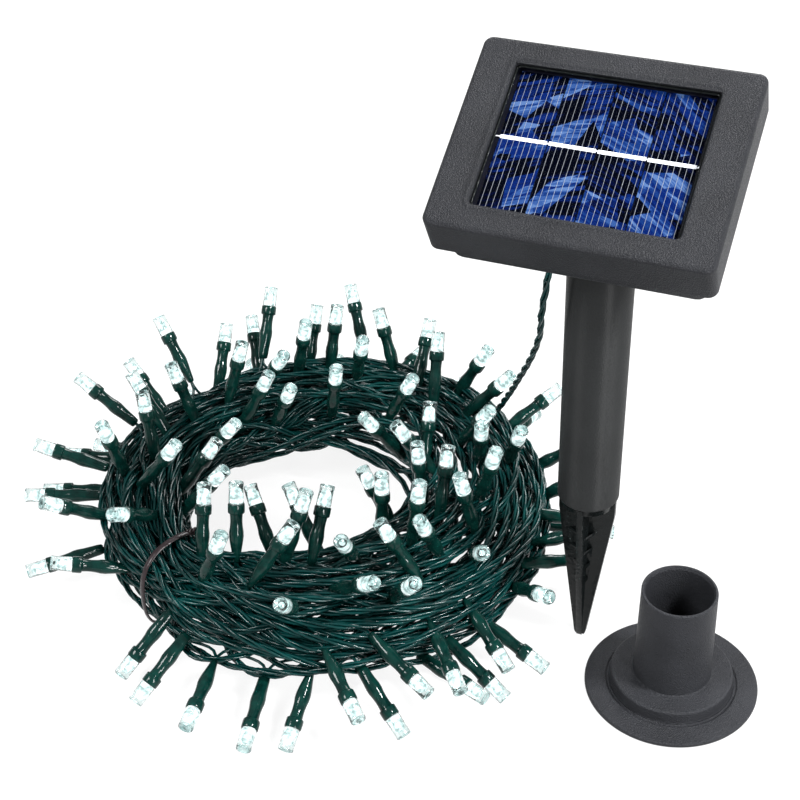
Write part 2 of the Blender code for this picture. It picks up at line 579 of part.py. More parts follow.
def coil_section(steps=16):
    """Rounded section of the wound cord: an ellipse-like ring, flatter below."""
    middle_r, middle_z = (COIL_IN + COIL_OUT) / 2, (COIL_LOW + COIL_HIGH) / 2
    half_r, half_z = (COIL_OUT - COIL_IN) / 2, (COIL_HIGH - COIL_LOW) / 2
    section = []
    for i in range(steps):
        angle = 2 * math.pi * i / steps
        c, s = math.cos(angle), math.sin(angle)
        section.append((middle_r + half_r * math.copysign(abs(c) ** COIL_POWER, c),
                        middle_z + half_z * math.copysign(abs(s) ** COIL_POWER, s)))
    return section


def make_coil():
    finish(lathe(coil_section(), 48), "cord_coil", COIL, CORD, 60.0)


def lamp_frame(azimuth, rise, lean):
    """Axis frame of a lamp that starts just outside the coil ring and points out and up."""
    out = Matrix.Rotation(math.radians(azimuth), 4, "Z")
    middle_r, middle_z = (COIL_IN + COIL_OUT) / 2, (COIL_LOW + COIL_HIGH) / 2
    half_r, half_z = (COIL_OUT - COIL_IN) / 2, (COIL_HIGH - COIL_LOW) / 2
    c, s = math.cos(math.radians(rise)), math.sin(math.radians(rise))
    start_r = middle_r + LAMP_CLEAR + half_r * abs(c) ** COIL_POWER
    start_z = middle_z + (LAMP_CLEAR + half_z) * math.copysign(abs(s) ** COIL_POWER, s)
    start = Vector((start_r, 0.0, start_z))
    aim = Matrix.Rotation(math.radians(lean), 4, "Z") @ Matrix.Rotation(math.radians(90.0 - rise), 4, "Y")
    return COIL @ out @ Matrix.Translation(start) @ aim


def make_lamps():
    collar = LAMP_L - LENS_L
    sleeve = [(0.0, 0.0), (1.9, 0.0), (2.2, 4.0), (2.75, 10.0), (2.5, 14.0), (2.4, collar - 4.2),
              (COLLAR_R, collar - 3.6), (COLLAR_R, collar - 0.5), (COLLAR_R - 0.4, collar - GAP), (0.0, collar - GAP)]
    lens = [(0.0, collar), (LENS_R, collar), (LENS_R, LAMP_L - 0.3), (LENS_R - 0.3, LAMP_L),
            (0.0, LAMP_L - 1.1)]
    for index, (azimuth, rise, lean) in enumerate(LAMPS):
        frame = lamp_frame(azimuth, rise, lean)
        finish(lathe(sleeve, 12), "lamp_sleeve_%02d" % (index + 1), frame, GREEN)
        finish(lathe(lens, 12), "lamp_lens_%02d" % (index + 1), frame, LENS)


def make_twist_tie():
    """Plain tie that lies over the coil's top and down both sides, clear of the ring."""
    section = coil_section(32)
    path = []
    grow = 1.5
    middle_r, middle_z = (COIL_IN + COIL_OUT) / 2, (COIL_LOW + COIL_HIGH) / 2
    for radius, z in section:
        scale_r = 1.0 + grow / ((COIL_OUT - COIL_IN) / 2)
        scale_z = 1.0 + grow / ((COIL_HIGH - COIL_LOW) / 2)
        if z > middle_z - 9.0:
            path.append((middle_r + (radius - middle_r) * scale_r, middle_z + (z - middle_z) * scale_z))
    path = rotate_to_start(path)
    bm = bmesh.new()
    rows = []
    for index, (radius, z) in enumerate(path):
        before = path[max(0, index - 1)]
        after = path[min(len(path) - 1, index + 1)]
        along = Vector((after[0] - before[0], 0.0, after[1] - before[1])).normalized()
        out = Vector((along.z, 0.0, -along.x)) * TIE_HALF_T
        place = Vector((radius, 0.0, z))
        side = Vector((0.0, TIE_HALF_W, 0.0))
        rows.append([bm.verts.new(place + side - out), bm.verts.new(place + side + out),
                     bm.verts.new(place - side + out), bm.verts.new(place - side - out)])
    for a, b in zip(rows, rows[1:]):
        for i in range(4):
            j = (i + 1) % 4
            bm.faces.new((a[i], a[j], b[j], b[i]))
    bm.faces.new(rows[0][::-1])
    bm.faces.new(rows[-1])
    frame = COIL @ Matrix.Rotation(math.radians(TIE_AZIMUTH), 4, "Z")
    finish(bm, "twist_tie", frame, BLACK)


def rotate_to_start(path):
    """Order the open path from the outer side, over the top, to the inner side."""
    start = max(range(len(path)), key=lambda i: (path[i][0] - path[i - 1][0]) ** 2 + (path[i][1] - path[i - 1][1]) ** 2)
    return path[start:] + path[:start]


make_bezel()
make_panel()
make_housing()
make_screws()
make_battery_bay()
make_door()
make_electronics()
make_controls()
make_grommet()
make_knuckle()
make_hinge_bolt()
make_pole()
make_spike()
make_stand()
make_lead()
make_coil()
make_lamps()
make_twist_tie()
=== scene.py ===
"""Looks of the solar string lights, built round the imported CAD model.

The helpers work in millimetres in the CAD model's frame (+Z up, origin at the spike's tip);
MM turns them into metres."""
import json
import math

import bmesh
import bpy
import numpy as np
from mathutils import Matrix, Vector
from numpy.linalg import norm

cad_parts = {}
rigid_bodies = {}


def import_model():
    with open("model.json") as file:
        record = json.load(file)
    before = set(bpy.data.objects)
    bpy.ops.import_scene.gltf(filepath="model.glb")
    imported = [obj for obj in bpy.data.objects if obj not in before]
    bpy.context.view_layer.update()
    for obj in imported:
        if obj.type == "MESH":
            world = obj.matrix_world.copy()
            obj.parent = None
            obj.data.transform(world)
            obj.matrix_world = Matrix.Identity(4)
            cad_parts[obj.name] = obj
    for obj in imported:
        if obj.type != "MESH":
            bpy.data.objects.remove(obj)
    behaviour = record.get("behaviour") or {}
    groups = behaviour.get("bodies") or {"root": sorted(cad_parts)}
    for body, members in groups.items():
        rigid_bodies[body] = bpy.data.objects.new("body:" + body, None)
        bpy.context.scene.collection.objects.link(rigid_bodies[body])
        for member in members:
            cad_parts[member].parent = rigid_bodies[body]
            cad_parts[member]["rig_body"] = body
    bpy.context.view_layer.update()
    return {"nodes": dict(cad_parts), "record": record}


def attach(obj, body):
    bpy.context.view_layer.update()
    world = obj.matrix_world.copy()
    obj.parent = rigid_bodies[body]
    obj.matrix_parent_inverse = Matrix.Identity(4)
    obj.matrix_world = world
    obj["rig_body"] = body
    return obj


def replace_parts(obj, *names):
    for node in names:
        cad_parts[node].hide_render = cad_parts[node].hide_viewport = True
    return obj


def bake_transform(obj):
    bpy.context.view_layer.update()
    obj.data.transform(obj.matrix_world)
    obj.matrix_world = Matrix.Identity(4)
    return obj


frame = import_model()

MM = 0.001
SEED = 7

# ---- dimensions shared with the CAD model (mm, degrees) ----
HINGE_DEPTH, HINGE_UP = 32.0, 2.0
BEZEL_W, BEZEL_H, BEZEL_D = 90.0, 70.5, 15.5
BEZEL_R, BEZEL_WALL, FACE_T = 3.2, 2.0, 2.4
WINDOW_W, WINDOW_H, WINDOW_R, WINDOW_UP = 65.0, 53.0, 1.7, 0.5
POLE_TOP, POLE_FOOT, POLE_R_TOP, POLE_R_FOOT, POLE_BORE = 170.0, 68.5, 11.35, 11.05, 9.85
STAND_X, STAND_Y, STAND_R, STAND_STEP_R, STAND_STEP_Z = 30.5, -28.5, 31.7, 22.2, 7.4
SOCKET_R, SOCKET_TOP, SOCKET_MOUTH_R, SOCKET_FOOT_R = 13.6, 46.5, 12.4, 11.4
BATTERY_L = 50.0
CELL_W, CELL_H, CELL_PITCH, CELL_COUNT = 15.1, 51.0, 15.5, 4
CELL_TOP, RIBBON_UP, RIBBON_W = -3.9, 1.2, 1.3
COIL_X, COIL_Y = -101.5, 54.0
LEAD = ((-18.9, 1.5, 146.0), (-18.4, 10.5, 131.0), (-19.8, 23.0, 113.0), (-22.6, 41.0, 90.5),
        (-25.2, 60.0, 68.5), (-28.6, 78.0, 48.5), (-34.0, 93.0, 41.5))
GROMMET_U, GROMMET_V, LEAD_START = -14.0, -20.0, -37.3

# ---- the cells' print, the cord, its lamps and the tie (mm, degrees) ----
FINGERS, FINGER_W = 8, 0.11            # printed lines on each cell
GRAIN_TURN = (28.0, 20.0, -16.0, -30.0)   # lie of the grains on each cell
CORD_D, WIRE_R, WIRES, WIRE_SIDES = 2.7, 0.62, 3, 5
TWIST_PITCH, RING_STEP = 30.0, 2.6
TURNS, STEPS = 66, 96                  # turns in the coil, points on a turn
BAND = 5                               # turns that run side by side
LAMP_COUNT = 100
UNLIT = 0.075                          # share of the cord before the first lamp
GLOW = 1.5                             # emission of the lit cores
LAMP_L, LENS_L, LENS_R, DISH = 31.0, 8.0, 2.85, 1.05   # DISH is the hollow in the lens's end
LAMP_SLIDE, LAMP_APART = 45.0, 15.0    # slide along the cord that lets a lamp stand clear of the rest
LAMP_LOW = 3.7                         # lowest middle of a lamp's end, which keeps its rim off the floor
TIE_AZIMUTH, TIE_W, TIE_T = 218.0, 2.6, 1.1
KNOT_TURN, TAIL_L, TAIL_TURNS = 116.0, 6.5, 2.2   # the tie's twist: place round the bundle, length, turns
SPIKE_CLEAR = 6.0                      # radius of the ring that keeps the lamps off the pole and spike
LANDING = 30.0                         # azimuth where the lead meets the coil
COIL_REACH, COIL_WIDTH, COIL_HALF_H = 91.8, 52.2, 20.6   # mean outer radius, width and half height


# ---- frames ----
def unit(vector):
    return np.asarray(vector, float) / norm(vector)


def head_frame():
    """Head axes in mm: x along the hinge, y up the slope, z out of the panel; origin at the face."""
    joints = {joint["name"]: joint for joint in frame["record"]["behaviour"]["joints"]}
    u = Vector(joints["head_tilt"]["axis"]).normalized()
    n = Vector(joints["button_press"]["axis"]).normalized()
    v = n.cross(u)
    turn = Matrix((u, v, n)).transposed().to_4x4()
    pivot = Vector(joints["head_tilt"]["pos_m"]) / MM
    return Matrix.Translation(pivot) @ turn @ Matrix.Translation((0.0, -HINGE_UP, HINGE_DEPTH))


HEAD = head_frame()
IN_HEAD = Matrix.Translation(HEAD.translation * MM) @ HEAD.to_3x3().to_4x4()   # the same, in metres
CENTRE = np.array([COIL_X, COIL_Y, 0.0])


# ---- mesh helpers ----
def columns(*parts):
    return np.stack(parts, axis=-1)


def new_object(name, data):
    obj = bpy.data.objects.new(name, data)
    bpy.context.scene.collection.objects.link(obj)
    return obj


def add_object(mesh, body, mat):
    """Object named like its mesh and a material, riding on a body."""
    mesh.materials.clear()
    mesh.materials.append(mat)
    obj = new_object(mesh.name, mesh)
    if body:
        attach(obj, body)
    return obj


def mesh_from(name, points, faces, angle=40.0):
    """Mesh in metres from points in mm, smooth but for edges sharper than the angle."""
    mesh = bpy.data.meshes.new(name)
    mesh.from_pydata((np.asarray(points) * MM).tolist(), [], faces)
    mesh.update()
    mesh.shade_smooth()
    mesh.set_sharp_from_angle(angle=math.radians(angle))
    return mesh


def ring_faces(count, corners, closed=False):
    """Faces that join rings of corners: the last ring to the first if closed, else with end caps."""
    starts = [k * corners for k in range(count)]
    spans = list(zip(starts, starts[1:])) + ([(starts[-1], 0)] if closed else [])
    faces = [[low + i, low + (i + 1) % corners, high + (i + 1) % corners, high + i]
             for low, high in spans for i in range(corners)]
    if not closed:
        faces += [list(range(corners))[::-1], list(range(starts[-1], starts[-1] + corners))]
    return faces


def lathe(profile, steps):
    """Points and faces of a shape turned about z from (radius, z) points; zero radii close on the axis."""
    points, rings = [], []
    for radius, z in profile:
        count = 1 if radius == 0.0 else steps
        rings.append(list(range(len(points), len(points) + count)))
        for i in range(count):
            turn = math.tau * i / steps
            points.append((radius * math.cos(turn), radius * math.sin(turn), z))
    faces = []
    closed = profile[0][0] != 0.0
    for low, high in list(zip(rings, rings[1:])) + ([(rings[-1], rings[0])] if closed else []):
        for i in range(steps):
            j = (i + 1) % steps
            ring = [low[i % len(low)], low[j % len(low)], high[j % len(high)], high[i % len(high)]]
            faces.append(list(dict.fromkeys(ring)))
    return points, faces


# ---- materials ----
def shader_of(mat):
    return mat.node_tree.nodes["Principled BSDF"]


def new_material(name, colour, roughness, metallic=0.0, **sockets):
    mat = bpy.data.materials.new(name)
    mat.use_nodes = True
    values = {"Base Color": (*colour, 1.0), "Roughness": roughness, "Metallic": metallic, **sockets}
    for socket, value in values.items():
        shader_of(mat).inputs[socket.replace("_", " ")].default_value = value
    return mat


def add_node(mat, kind, inputs=None, **settings):
    """Shader node of a kind, its inputs set to values or linked to sockets."""
    node = mat.node_tree.nodes.new("ShaderNode" + kind)
    for key, value in settings.items():
        setattr(node, key, value)
    for socket, value in (inputs or {}).items():
        if isinstance(value, bpy.types.NodeSocket):
            mat.node_tree.links.new(value, node.inputs[socket])
        else:
            node.inputs[socket].default_value = value
    return node


def link(mat, source, target):
    mat.node_tree.links.new(source, target)


def feed(mat, socket, source):
    """Link a source to a socket of the material's shader."""
    link(mat, source, shader_of(mat).inputs[socket])


def object_place(mat):
    return add_node(mat, "TexCoord").outputs["Object"]


def ramp(mat, factor, stops, mode="LINEAR"):
    node = add_node(mat, "ValToRGB", {"Fac": factor})
    node.color_ramp.interpolation = mode
    elements = node.color_ramp.elements
    while len(elements) < len(stops):
        elements.new(1.0)
    for element, (place, colour) in zip(elements, stops):
        element.position = place
        element.color = (*colour, 1.0) if len(colour) == 3 else colour
    return node.outputs["Color"]


def noise(mat, place, scale, detail=3.0):
    return add_node(mat, "TexNoise", {"Vector": place, "Scale": scale, "Detail": detail}).outputs["Fac"]


def add_bump(mat, height, strength, distance):
    bump = add_node(mat, "Bump", {"Height": height, "Strength": strength, "Distance": distance})
    feed(mat, "Normal", bump.outputs["Normal"])


def head_place(mat):
    """Coordinates along the head's own axes, in metres, for pieces that lie in the world frame."""
    turn = HEAD.to_3x3().transposed()
    shift = -(turn @ HEAD.translation) * MM
    return add_node(mat, "Mapping", {"Vector": object_place(mat), "Rotation": turn.to_euler(),
                                     "Location": shift}).outputs["Vector"]


def math_node(mat, operation, first, second):
    return add_node(mat, "Math", {0: first, 1: second}, operation=operation).outputs[0]


def map_range(mat, value, low, high, to_low=0.0, to_high=1.0):
    return add_node(mat, "MapRange", {"Value": value, "From Min": low, "From Max": high,
                                      "To Min": to_low, "To Max": to_high}).outputs["Result"]


def grained(name, colour, roughness, grain, depth, spread=0.25, worn=0.0, **sockets):
    """Moulded plastic: leathery pitted grain, soft clouding of colour and gloss, paler worn edges."""
    mat = new_material(name, colour, roughness, **sockets)
    place = object_place(mat)
    pits = add_node(mat, "TexVoronoi", {"Vector": place, "Scale": grain}).outputs["Distance"]
    fine = noise(mat, place, grain * 0.8)
    grain_height = math_node(mat, "ADD", pits, fine)
    dark = tuple(c * (1.0 - spread) for c in colour)
    light = tuple(min(1.0, c * (1.0 + spread)) for c in colour)
    cloud = math_node(mat, "MULTIPLY", math_node(mat, "ADD", fine, noise(mat, place, 45.0, 2.0)), 0.5)
    tone = ramp(mat, cloud, [(0.35, dark), (0.65, light)])
    if worn:
        edge = add_node(mat, "NewGeometry").outputs["Pointiness"]
        rub = map_range(mat, edge, 0.52, 0.60, 0.0, worn)
        mix = add_node(mat, "Mix", {"Factor": rub}, data_type="RGBA")
        link(mat, tone, mix.inputs[6])
        mix.inputs[7].default_value = (*(min(1.0, c * 2.6) for c in colour), 1.0)
        tone = mix.outputs[2]
    feed(mat, "Base Color", tone)
    feed(mat, "Roughness", map_range(mat, fine, 0.3, 0.7, roughness - 0.06, roughness + 0.08))
    add_bump(mat, grain_height, 0.5, depth)
    return mat


def brushed(name, colour, roughness, scale=(40.0, 900.0, 40.0), stain=0.15):
    """Metal with fine drawn lines and faint staining."""
    mat = new_material(name, colour, roughness, 1.0)
    place = object_place(mat)
    stretched = add_node(mat, "Mapping", {"Vector": place, "Scale": scale}).outputs["Vector"]
    lines = noise(mat, stretched, 1.0, 4.0)
    dark = tuple(c * (1.0 - stain) for c in colour)
    feed(mat, "Base Color", ramp(mat, noise(mat, place, 160.0), [(0.35, dark), (0.65, colour)]))
    feed(mat, "Roughness", map_range(mat, lines, 0.0, 1.0, roughness - 0.1, roughness + 0.15))
    add_bump(mat, lines, 0.15, 0.0001)
    return mat


def clouded(name, colour, roughness, tones, cloud, ripple, strength, depth, **sockets):
    """Smooth plastic with clouds of colour and a rippled skin, each noise by its scale and detail."""
    mat = new_material(name, colour, roughness, **sockets)
    place = object_place(mat)
    feed(mat, "Base Color", ramp(mat, noise(mat, place, *cloud), tones))
    add_bump(mat, noise(mat, place, *ripple), strength, depth)
    return mat


def clear_plastic(name, low, high):
    """Clear moulded plastic, faintly green, a little uneven inside."""
    return clouded(name, high, 0.08, [(0.3, low), (0.7, high)], (900.0, 2.0), (900.0, 2.0), 0.4, 0.0004,
                   IOR=1.46, Transmission_Weight=1.0)


def make_glow_material():
    """Lit chip and reflector cup inside the lens, seen blotched through the moulded plastic."""
    mat = new_material("lamp_glow", (0.2, 0.25, 0.25), 0.4, Emission_Strength=GLOW)
    blotch = noise(mat, object_place(mat), 520.0, 2.0)
    tones = [(0.36, (0.20, 0.27, 0.27)), (0.48, (0.60, 0.70, 0.70)), (0.60, (0.97, 1.0, 1.0))]
    feed(mat, "Emission Color", ramp(mat, blotch, tones))
    return mat


def make_cell_material(index):
    """Polycrystalline silicon: angular grains from near black to pale blue, cut short at each cell."""
    mat = new_material("solar_cell_%d" % index, (0.005, 0.02, 0.13), 0.35, Specular_IOR_Level=0.02)
    place = head_place(mat)
    grain = 0.0
    for turn, stretch, scale, weight in (
            (14.0, 1.7, 80.0, 0.56), (0.0, 6.0, 85.0, 0.28), (-9.0, 15.0, 110.0, 0.16)):
        shards = add_node(mat, "Mapping", {
            "Vector": place, "Rotation": (0.0, 0.0, math.radians(turn + GRAIN_TURN[index - 1])),
            "Location": (0.37 * index, 0.21 * index, 0.0), "Scale": (1.0, 1.0 / stretch, 1000.0)},
            vector_type="TEXTURE").outputs["Vector"]
        cells = add_node(mat, "TexVoronoi", {"Vector": shards, "Scale": scale, "Randomness": 1.0})
        colour = add_node(mat, "SeparateColor", {"Color": cells.outputs["Color"]})
        grain = math_node(mat, "ADD", grain, math_node(mat, "MULTIPLY", colour.outputs["Red"], weight))
    stops = [(0.0, (0.0001, 0.0004, 0.002)), (0.36, (0.0003, 0.0014, 0.013)), (0.42, (0.0006, 0.005, 0.038)),
             (0.49, (0.0011, 0.008, 0.061)), (0.60, (0.0035, 0.017, 0.080)), (0.69, (0.017, 0.044, 0.132)),
             (0.77, (0.048, 0.088, 0.185))]
    feed(mat, "Base Color", ramp(mat, grain, stops, "CONSTANT"))
    return mat


def make_glaze_material():
    """Clear potting over the cells: see-through, with a gloss on top."""
    mat = bpy.data.materials.new("panel_glaze")
    mat.use_nodes = True
    tree = mat.node_tree
    tree.nodes.remove(shader_of(mat))
    clear = add_node(mat, "BsdfTransparent", {"Color": (0.96, 0.97, 0.99, 1.0)})
    ripple = noise(mat, object_place(mat), 60.0, 2.0)
    bump = add_node(mat, "Bump", {"Height": ripple, "Strength": 0.1, "Distance": 0.0004})
    gloss = add_node(mat, "BsdfGlossy", {"Roughness": 0.05, "Normal": bump.outputs["Normal"]})
    slant = add_node(mat, "LayerWeight", {"Blend": 0.5}).outputs["Facing"]
    steep = math_node(mat, "POWER", slant, 4.0)
    share = math_node(mat, "ADD", math_node(mat, "MULTIPLY", steep, 0.4), 0.002)
    mix = add_node(mat, "MixShader", {0: share, 1: clear.outputs[0], 2: gloss.outputs[0]})
    link(mat, mix.outputs[0], tree.nodes["Material Output"].inputs["Surface"])
    return mat


def make_board_material(name, mask, copper):
    """Circuit board: lacquer over rectangular tracks, with paler track edges."""
    mat = new_material(name, mask, 0.35)
    place = head_place(mat)
    flat = add_node(mat, "Mapping", {"Vector": place, "Scale": (1.0, 1.0, 0.001)}).outputs["Vector"]
    tracks = add_node(mat, "TexVoronoi", {"Vector": flat, "Scale": 240.0, "Randomness": 0.6},
                      distance="CHEBYCHEV")
    stops = [(0.30, mask), (0.36, copper), (0.44, mask)]
    feed(mat, "Base Color", ramp(mat, tracks.outputs["Distance"], stops))
    add_bump(mat, tracks.outputs["Distance"], 0.2, 0.0002)
    return mat


def make_jacket_material():
    """Shrink-wrapped cell: coloured jacket with a pale band, bare nickel at both ends."""
    mat = new_material("battery_jacket", (0.03, 0.16, 0.09), 0.3)
    along = add_node(mat, "SeparateXYZ", {"Vector": head_place(mat)}).outputs["X"]
    start = (2.4 - BATTERY_L / 2) * MM
    share = map_range(mat, along, start, start + BATTERY_L * MM)
    nickel, green, pale = (0.62, 0.61, 0.58), (0.02, 0.14, 0.08), (0.55, 0.60, 0.56)
    stops = [(0.0, nickel), (0.03, green), (0.62, pale), (0.80, green), (0.95, nickel)]
    feed(mat, "Base Color", ramp(mat, share, stops, "CONSTANT"))
    bare = [(0.0, (1, 1, 1)), (0.03, (0, 0, 0)), (0.95, (1, 1, 1))]
    feed(mat, "Metallic", ramp(mat, share, bare, "CONSTANT"))
    add_bump(mat, noise(mat, object_place(mat), 300.0), 0.15, 0.0003)
    return mat


def make_winding_material():
    """Enamelled wire wound round the inductor's drum; its colour follows the turns' relief, with painted
    shade in the grooves between them.
    """
    mat = new_material("copper_winding", (0.45, 0.17, 0.06), 0.3, 1.0)
    wires = add_node(mat, "TexWave", {"Vector": head_place(mat), "Scale": 900.0, "Distortion": 0.4},
                     bands_direction="Z")
    # painted shade: these stops darken the colour in the grooves between the turns
    stops = [(0.1, (0.16, 0.05, 0.02)), (0.6, (0.60, 0.25, 0.10))]
    feed(mat, "Base Color", ramp(mat, wires.outputs["Fac"], stops))
    add_bump(mat, wires.outputs["Fac"], 0.5, 0.0003)
    return mat


CORD_GREEN = clouded("cord_green", (0.0006, 0.022, 0.020), 0.2,
                     [(0.3, (0.0003, 0.010, 0.010)), (0.55, (0.0006, 0.021, 0.020)),
                      (0.75, (0.0012, 0.034, 0.032))],
                     (70.0, 3.0), (900.0, 2.0), 0.2, 0.0002, Specular_IOR_Level=0.26)
SLEEVE_GREEN = clouded("lamp_sleeve", (0.0008, 0.014, 0.011), 0.10,
                       [(0.3, (0.0006, 0.008, 0.007)), (0.75, (0.002, 0.024, 0.019))],
                       (260.0, 3.0), (260.0, 3.0), 0.4, 0.0007, Specular_IOR_Level=0.2)
LENS_CLEAR = clear_plastic("lamp_lens", (0.60, 0.73, 0.72), (0.84, 0.92, 0.91))
# painted shade: a darker copy of the lens plastic, for the lens's rim and dished end
LENS_RIM_PAINTED_SHADE = clear_plastic("lamp_rim_painted_shade", (0.10, 0.22, 0.21), (0.55, 0.70, 0.69))
LAMP_LIGHT = make_glow_material()
CHARCOAL = grained("charcoal_plastic", (0.0150, 0.0157, 0.0181), 0.42, 2300.0, 0.0009, worn=0.15,
                   Specular_IOR_Level=0.10)
STAND_CHARCOAL = grained("charcoal_stand", (0.0180, 0.0188, 0.0215), 0.42, 2300.0, 0.0007, worn=0.15,
                         Specular_IOR_Level=0.10)
SMOOTH_CHARCOAL = grained("charcoal_smooth", (0.011, 0.0118, 0.0122), 0.46, 1800.0, 0.00006, worn=0.1,
                          Specular_IOR_Level=0.17, Anisotropic=0.9, Anisotropic_Rotation=0.25)
drawn = add_node(SMOOTH_CHARCOAL, "Tangent", direction_type="RADIAL", axis="Z")
link(SMOOTH_CHARCOAL, drawn.outputs["Tangent"], shader_of(SMOOTH_CHARCOAL).inputs["Tangent"])
BLACK = grained("black_plastic", (0.004, 0.005, 0.0052), 0.2, 500.0, 0.0002, Specular_IOR_Level=0.14)
RUBBER = grained("black_rubber", (0.010, 0.010, 0.011), 0.45, 900.0, 0.0002)
TIE = grained("tie_brown", (0.012, 0.0075, 0.0085), 0.3, 500.0, 0.0003, Specular_IOR_Level=0.3)
TINNED = brushed("tinned_ribbon", (0.86, 0.87, 0.88), 0.35, (60.0, 700.0, 60.0), 0.08)
RIBBON_WHITE = grained("ribbon_white", (0.80, 0.80, 0.79), 0.35, 700.0, 0.0001, 0.06)
STEEL = brushed("steel", (0.52, 0.52, 0.54), 0.32)
LACQUER_BLACK = make_board_material("panel_backing", (0.003, 0.003, 0.006), (0.006, 0.006, 0.012))
LACQUER_GREEN = make_board_material("circuit_board", (0.012, 0.11, 0.045), (0.04, 0.24, 0.10))
GLAZE = make_glaze_material()
JACKET = make_jacket_material()
COPPER = make_winding_material()


# ---- winding the cord ----
def smooth_through(points, per_span):
    """Catmull-Rom curve through points, per_span pieces to a span."""
    points = np.asarray(points, float)
    ends = np.vstack([2 * points[0] - points[1], points, 2 * points[-1] - points[-2]])
    p0, p1, p2, p3 = ends[:-3, None], ends[1:-2, None], ends[2:-1, None], ends[3:, None]
    t = (np.arange(per_span) / per_span)[None, :, None]
    line = 0.5 * (2 * p1 + (p2 - p0) * t + (2 * p0 - 5 * p1 + 4 * p2 - p3) * t ** 2
                  + (3 * p1 - p0 - 3 * p2 + p3) * t ** 3)
    return np.vstack([line.reshape(-1, points.shape[1]), points[-1:]])


def wrapped(angle):
    """The same angle between minus and plus half a turn."""
    return (angle + math.pi) % math.tau - math.pi


def coil_section(azimuth):
    """Middle radius, half width, middle height and half height of the wound cord at an azimuth."""
    pinch = np.exp(-(wrapped(azimuth - math.radians(TIE_AZIMUTH)) / 0.30) ** 2)
    lean = np.cos(azimuth + math.radians(44.0))
    back = np.exp(-(wrapped(azimuth - math.pi / 2) / 0.8) ** 2)
    width = COIL_WIDTH + 13.0 * lean - 3.75 * np.cos(2 * azimuth) + 8.0 * back
    half_w = width / 2 - 9.0 * pinch
    half_h = COIL_HALF_H * (1.0 + 0.04 * np.sin(2 * azimuth) - 0.14 * pinch)
    return COIL_REACH + 3.2 * lean - width / 2 - 1.0 * pinch, half_w, half_h, half_h


def section_at(azimuth):
    """The coil's section at one azimuth, as plain numbers."""
    return [float(x) for x in coil_section(np.array(azimuth))]


def section_spot(azimuth, angle, inward, down):
    """Spot at an angle round the section's middle, short of its half width and half height."""
    middle, half_w, height, half_h = section_at(azimuth)
    return np.array([middle + (half_w - inward) * math.cos(angle),
                     height + (half_h - down) * math.sin(angle)])


def to_world(azimuth, section):
    """World points in mm from azimuths and (radius, height) pairs."""
    radius, z = section[..., 0], section[..., 1]
    return CENTRE + columns(radius * np.cos(azimuth), radius * np.sin(azimuth), z)


def keep_inside(section, azimuth):
    """Pull the cord's middle back into the rounded section of the coil, half a diameter in."""
    middle, half_w, height, half_h = coil_section(azimuth)
    half_w, half_h = half_w - CORD_D / 2, half_h - CORD_D / 2
    x = (section[:, 0] - middle) / half_w
    y = (section[:, 1] - height) / half_h
    reach = np.maximum(1.0, (np.abs(x) ** 2.5 + np.abs(y) ** 2.5) ** 0.4)
    return columns(middle + half_w * x / reach, height + half_h * y / reach)


def first_winding(rng):
    """Bands of neighbouring turns that wander round the section and cross each other."""
    count = TURNS * STEPS + 1
    azimuth = math.radians(LANDING) + math.tau * np.arange(count) / STEPS
    turn = np.arange(count) / STEPS
    bands = math.ceil(TURNS / BAND) + 1
    golden = 137.5 / 360.0
    places = []
    for band in range(bands):
        start = math.radians(-55.0 + 290.0 * ((golden * band + 0.5) % 1.0))
        angle, reach = np.full(count, start), np.full(count, 0.86)
        for harmonic, swing, dip in ((1, 0.75, 0.12), (2, 0.45, 0.10), (3, 0.20, 0.06)):
            phase = rng.uniform(0, math.tau, 2)
            angle = angle + swing * np.cos(harmonic * azimuth + phase[0])
            reach = reach + dip * np.cos(harmonic * azimuth + phase[1])
        places.append(reach[:, None] * columns(np.cos(angle), np.sin(angle)))
    places = np.array(places)
    mine = turn / BAND
    low = np.clip(np.floor(mine).astype(int), 0, bands - 2)
    part = np.clip((mine - low - 0.86) / 0.14, 0.0, 1.0)
    part = (part * part * (3 - 2 * part))[:, None]
    rows = np.arange(count)
    unitless = places[low, rows] * (1 - part) + places[low + 1, rows] * part
    beside = ((turn % BAND) - BAND / 2)[:, None] * rng.uniform(-0.10, 0.10, (bands, 2))[low]
    wobble = np.zeros((count, 2))
    for harmonic in (1, 2, 3, 5):
        phase = rng.uniform(0, math.tau, (TURNS + 1, 2))
        size = rng.uniform(0.0, 0.16 / harmonic, (TURNS + 1, 2))
        own = np.floor(turn).astype(int)
        blend = (turn - own)[:, None]
        after = np.minimum(own + 1, TURNS)
        for index, share in ((own, 1 - blend), (after, blend)):
            wobble += share * size[index] * np.cos(harmonic * azimuth[:, None] + phase[index])
    unitless = unitless + beside + wobble
    middle, half_w, height, half_h = coil_section(azimuth)
    section = columns(middle + half_w * unitless[:, 0], height + half_h * unitless[:, 1])
    return azimuth, keep_inside(section, azimuth)


def push_apart(section, reach, strength):
    """Moves that part the turns at each azimuth until they are reach apart."""
    rows = section[:-1].reshape(TURNS, STEPS, 2)
    gap = rows[:, None] - rows[None]
    dist = np.sqrt((gap ** 2).sum(-1)) + 1e-6
    push = np.clip(reach - dist, 0.0, None) / dist * strength
    push[np.arange(TURNS), np.arange(TURNS)] = 0.0
    move = (push[..., None] * gap).sum(1).reshape(-1, 2)
    return np.vstack([move, move[-1:]])


def ease(section, share):
    """Pull every point towards the middle of its neighbours, which keeps the bends wide."""
    out = section.copy()
    out[1:-1] += share * ((section[:-2] + section[2:]) / 2 - section[1:-1])
    return out


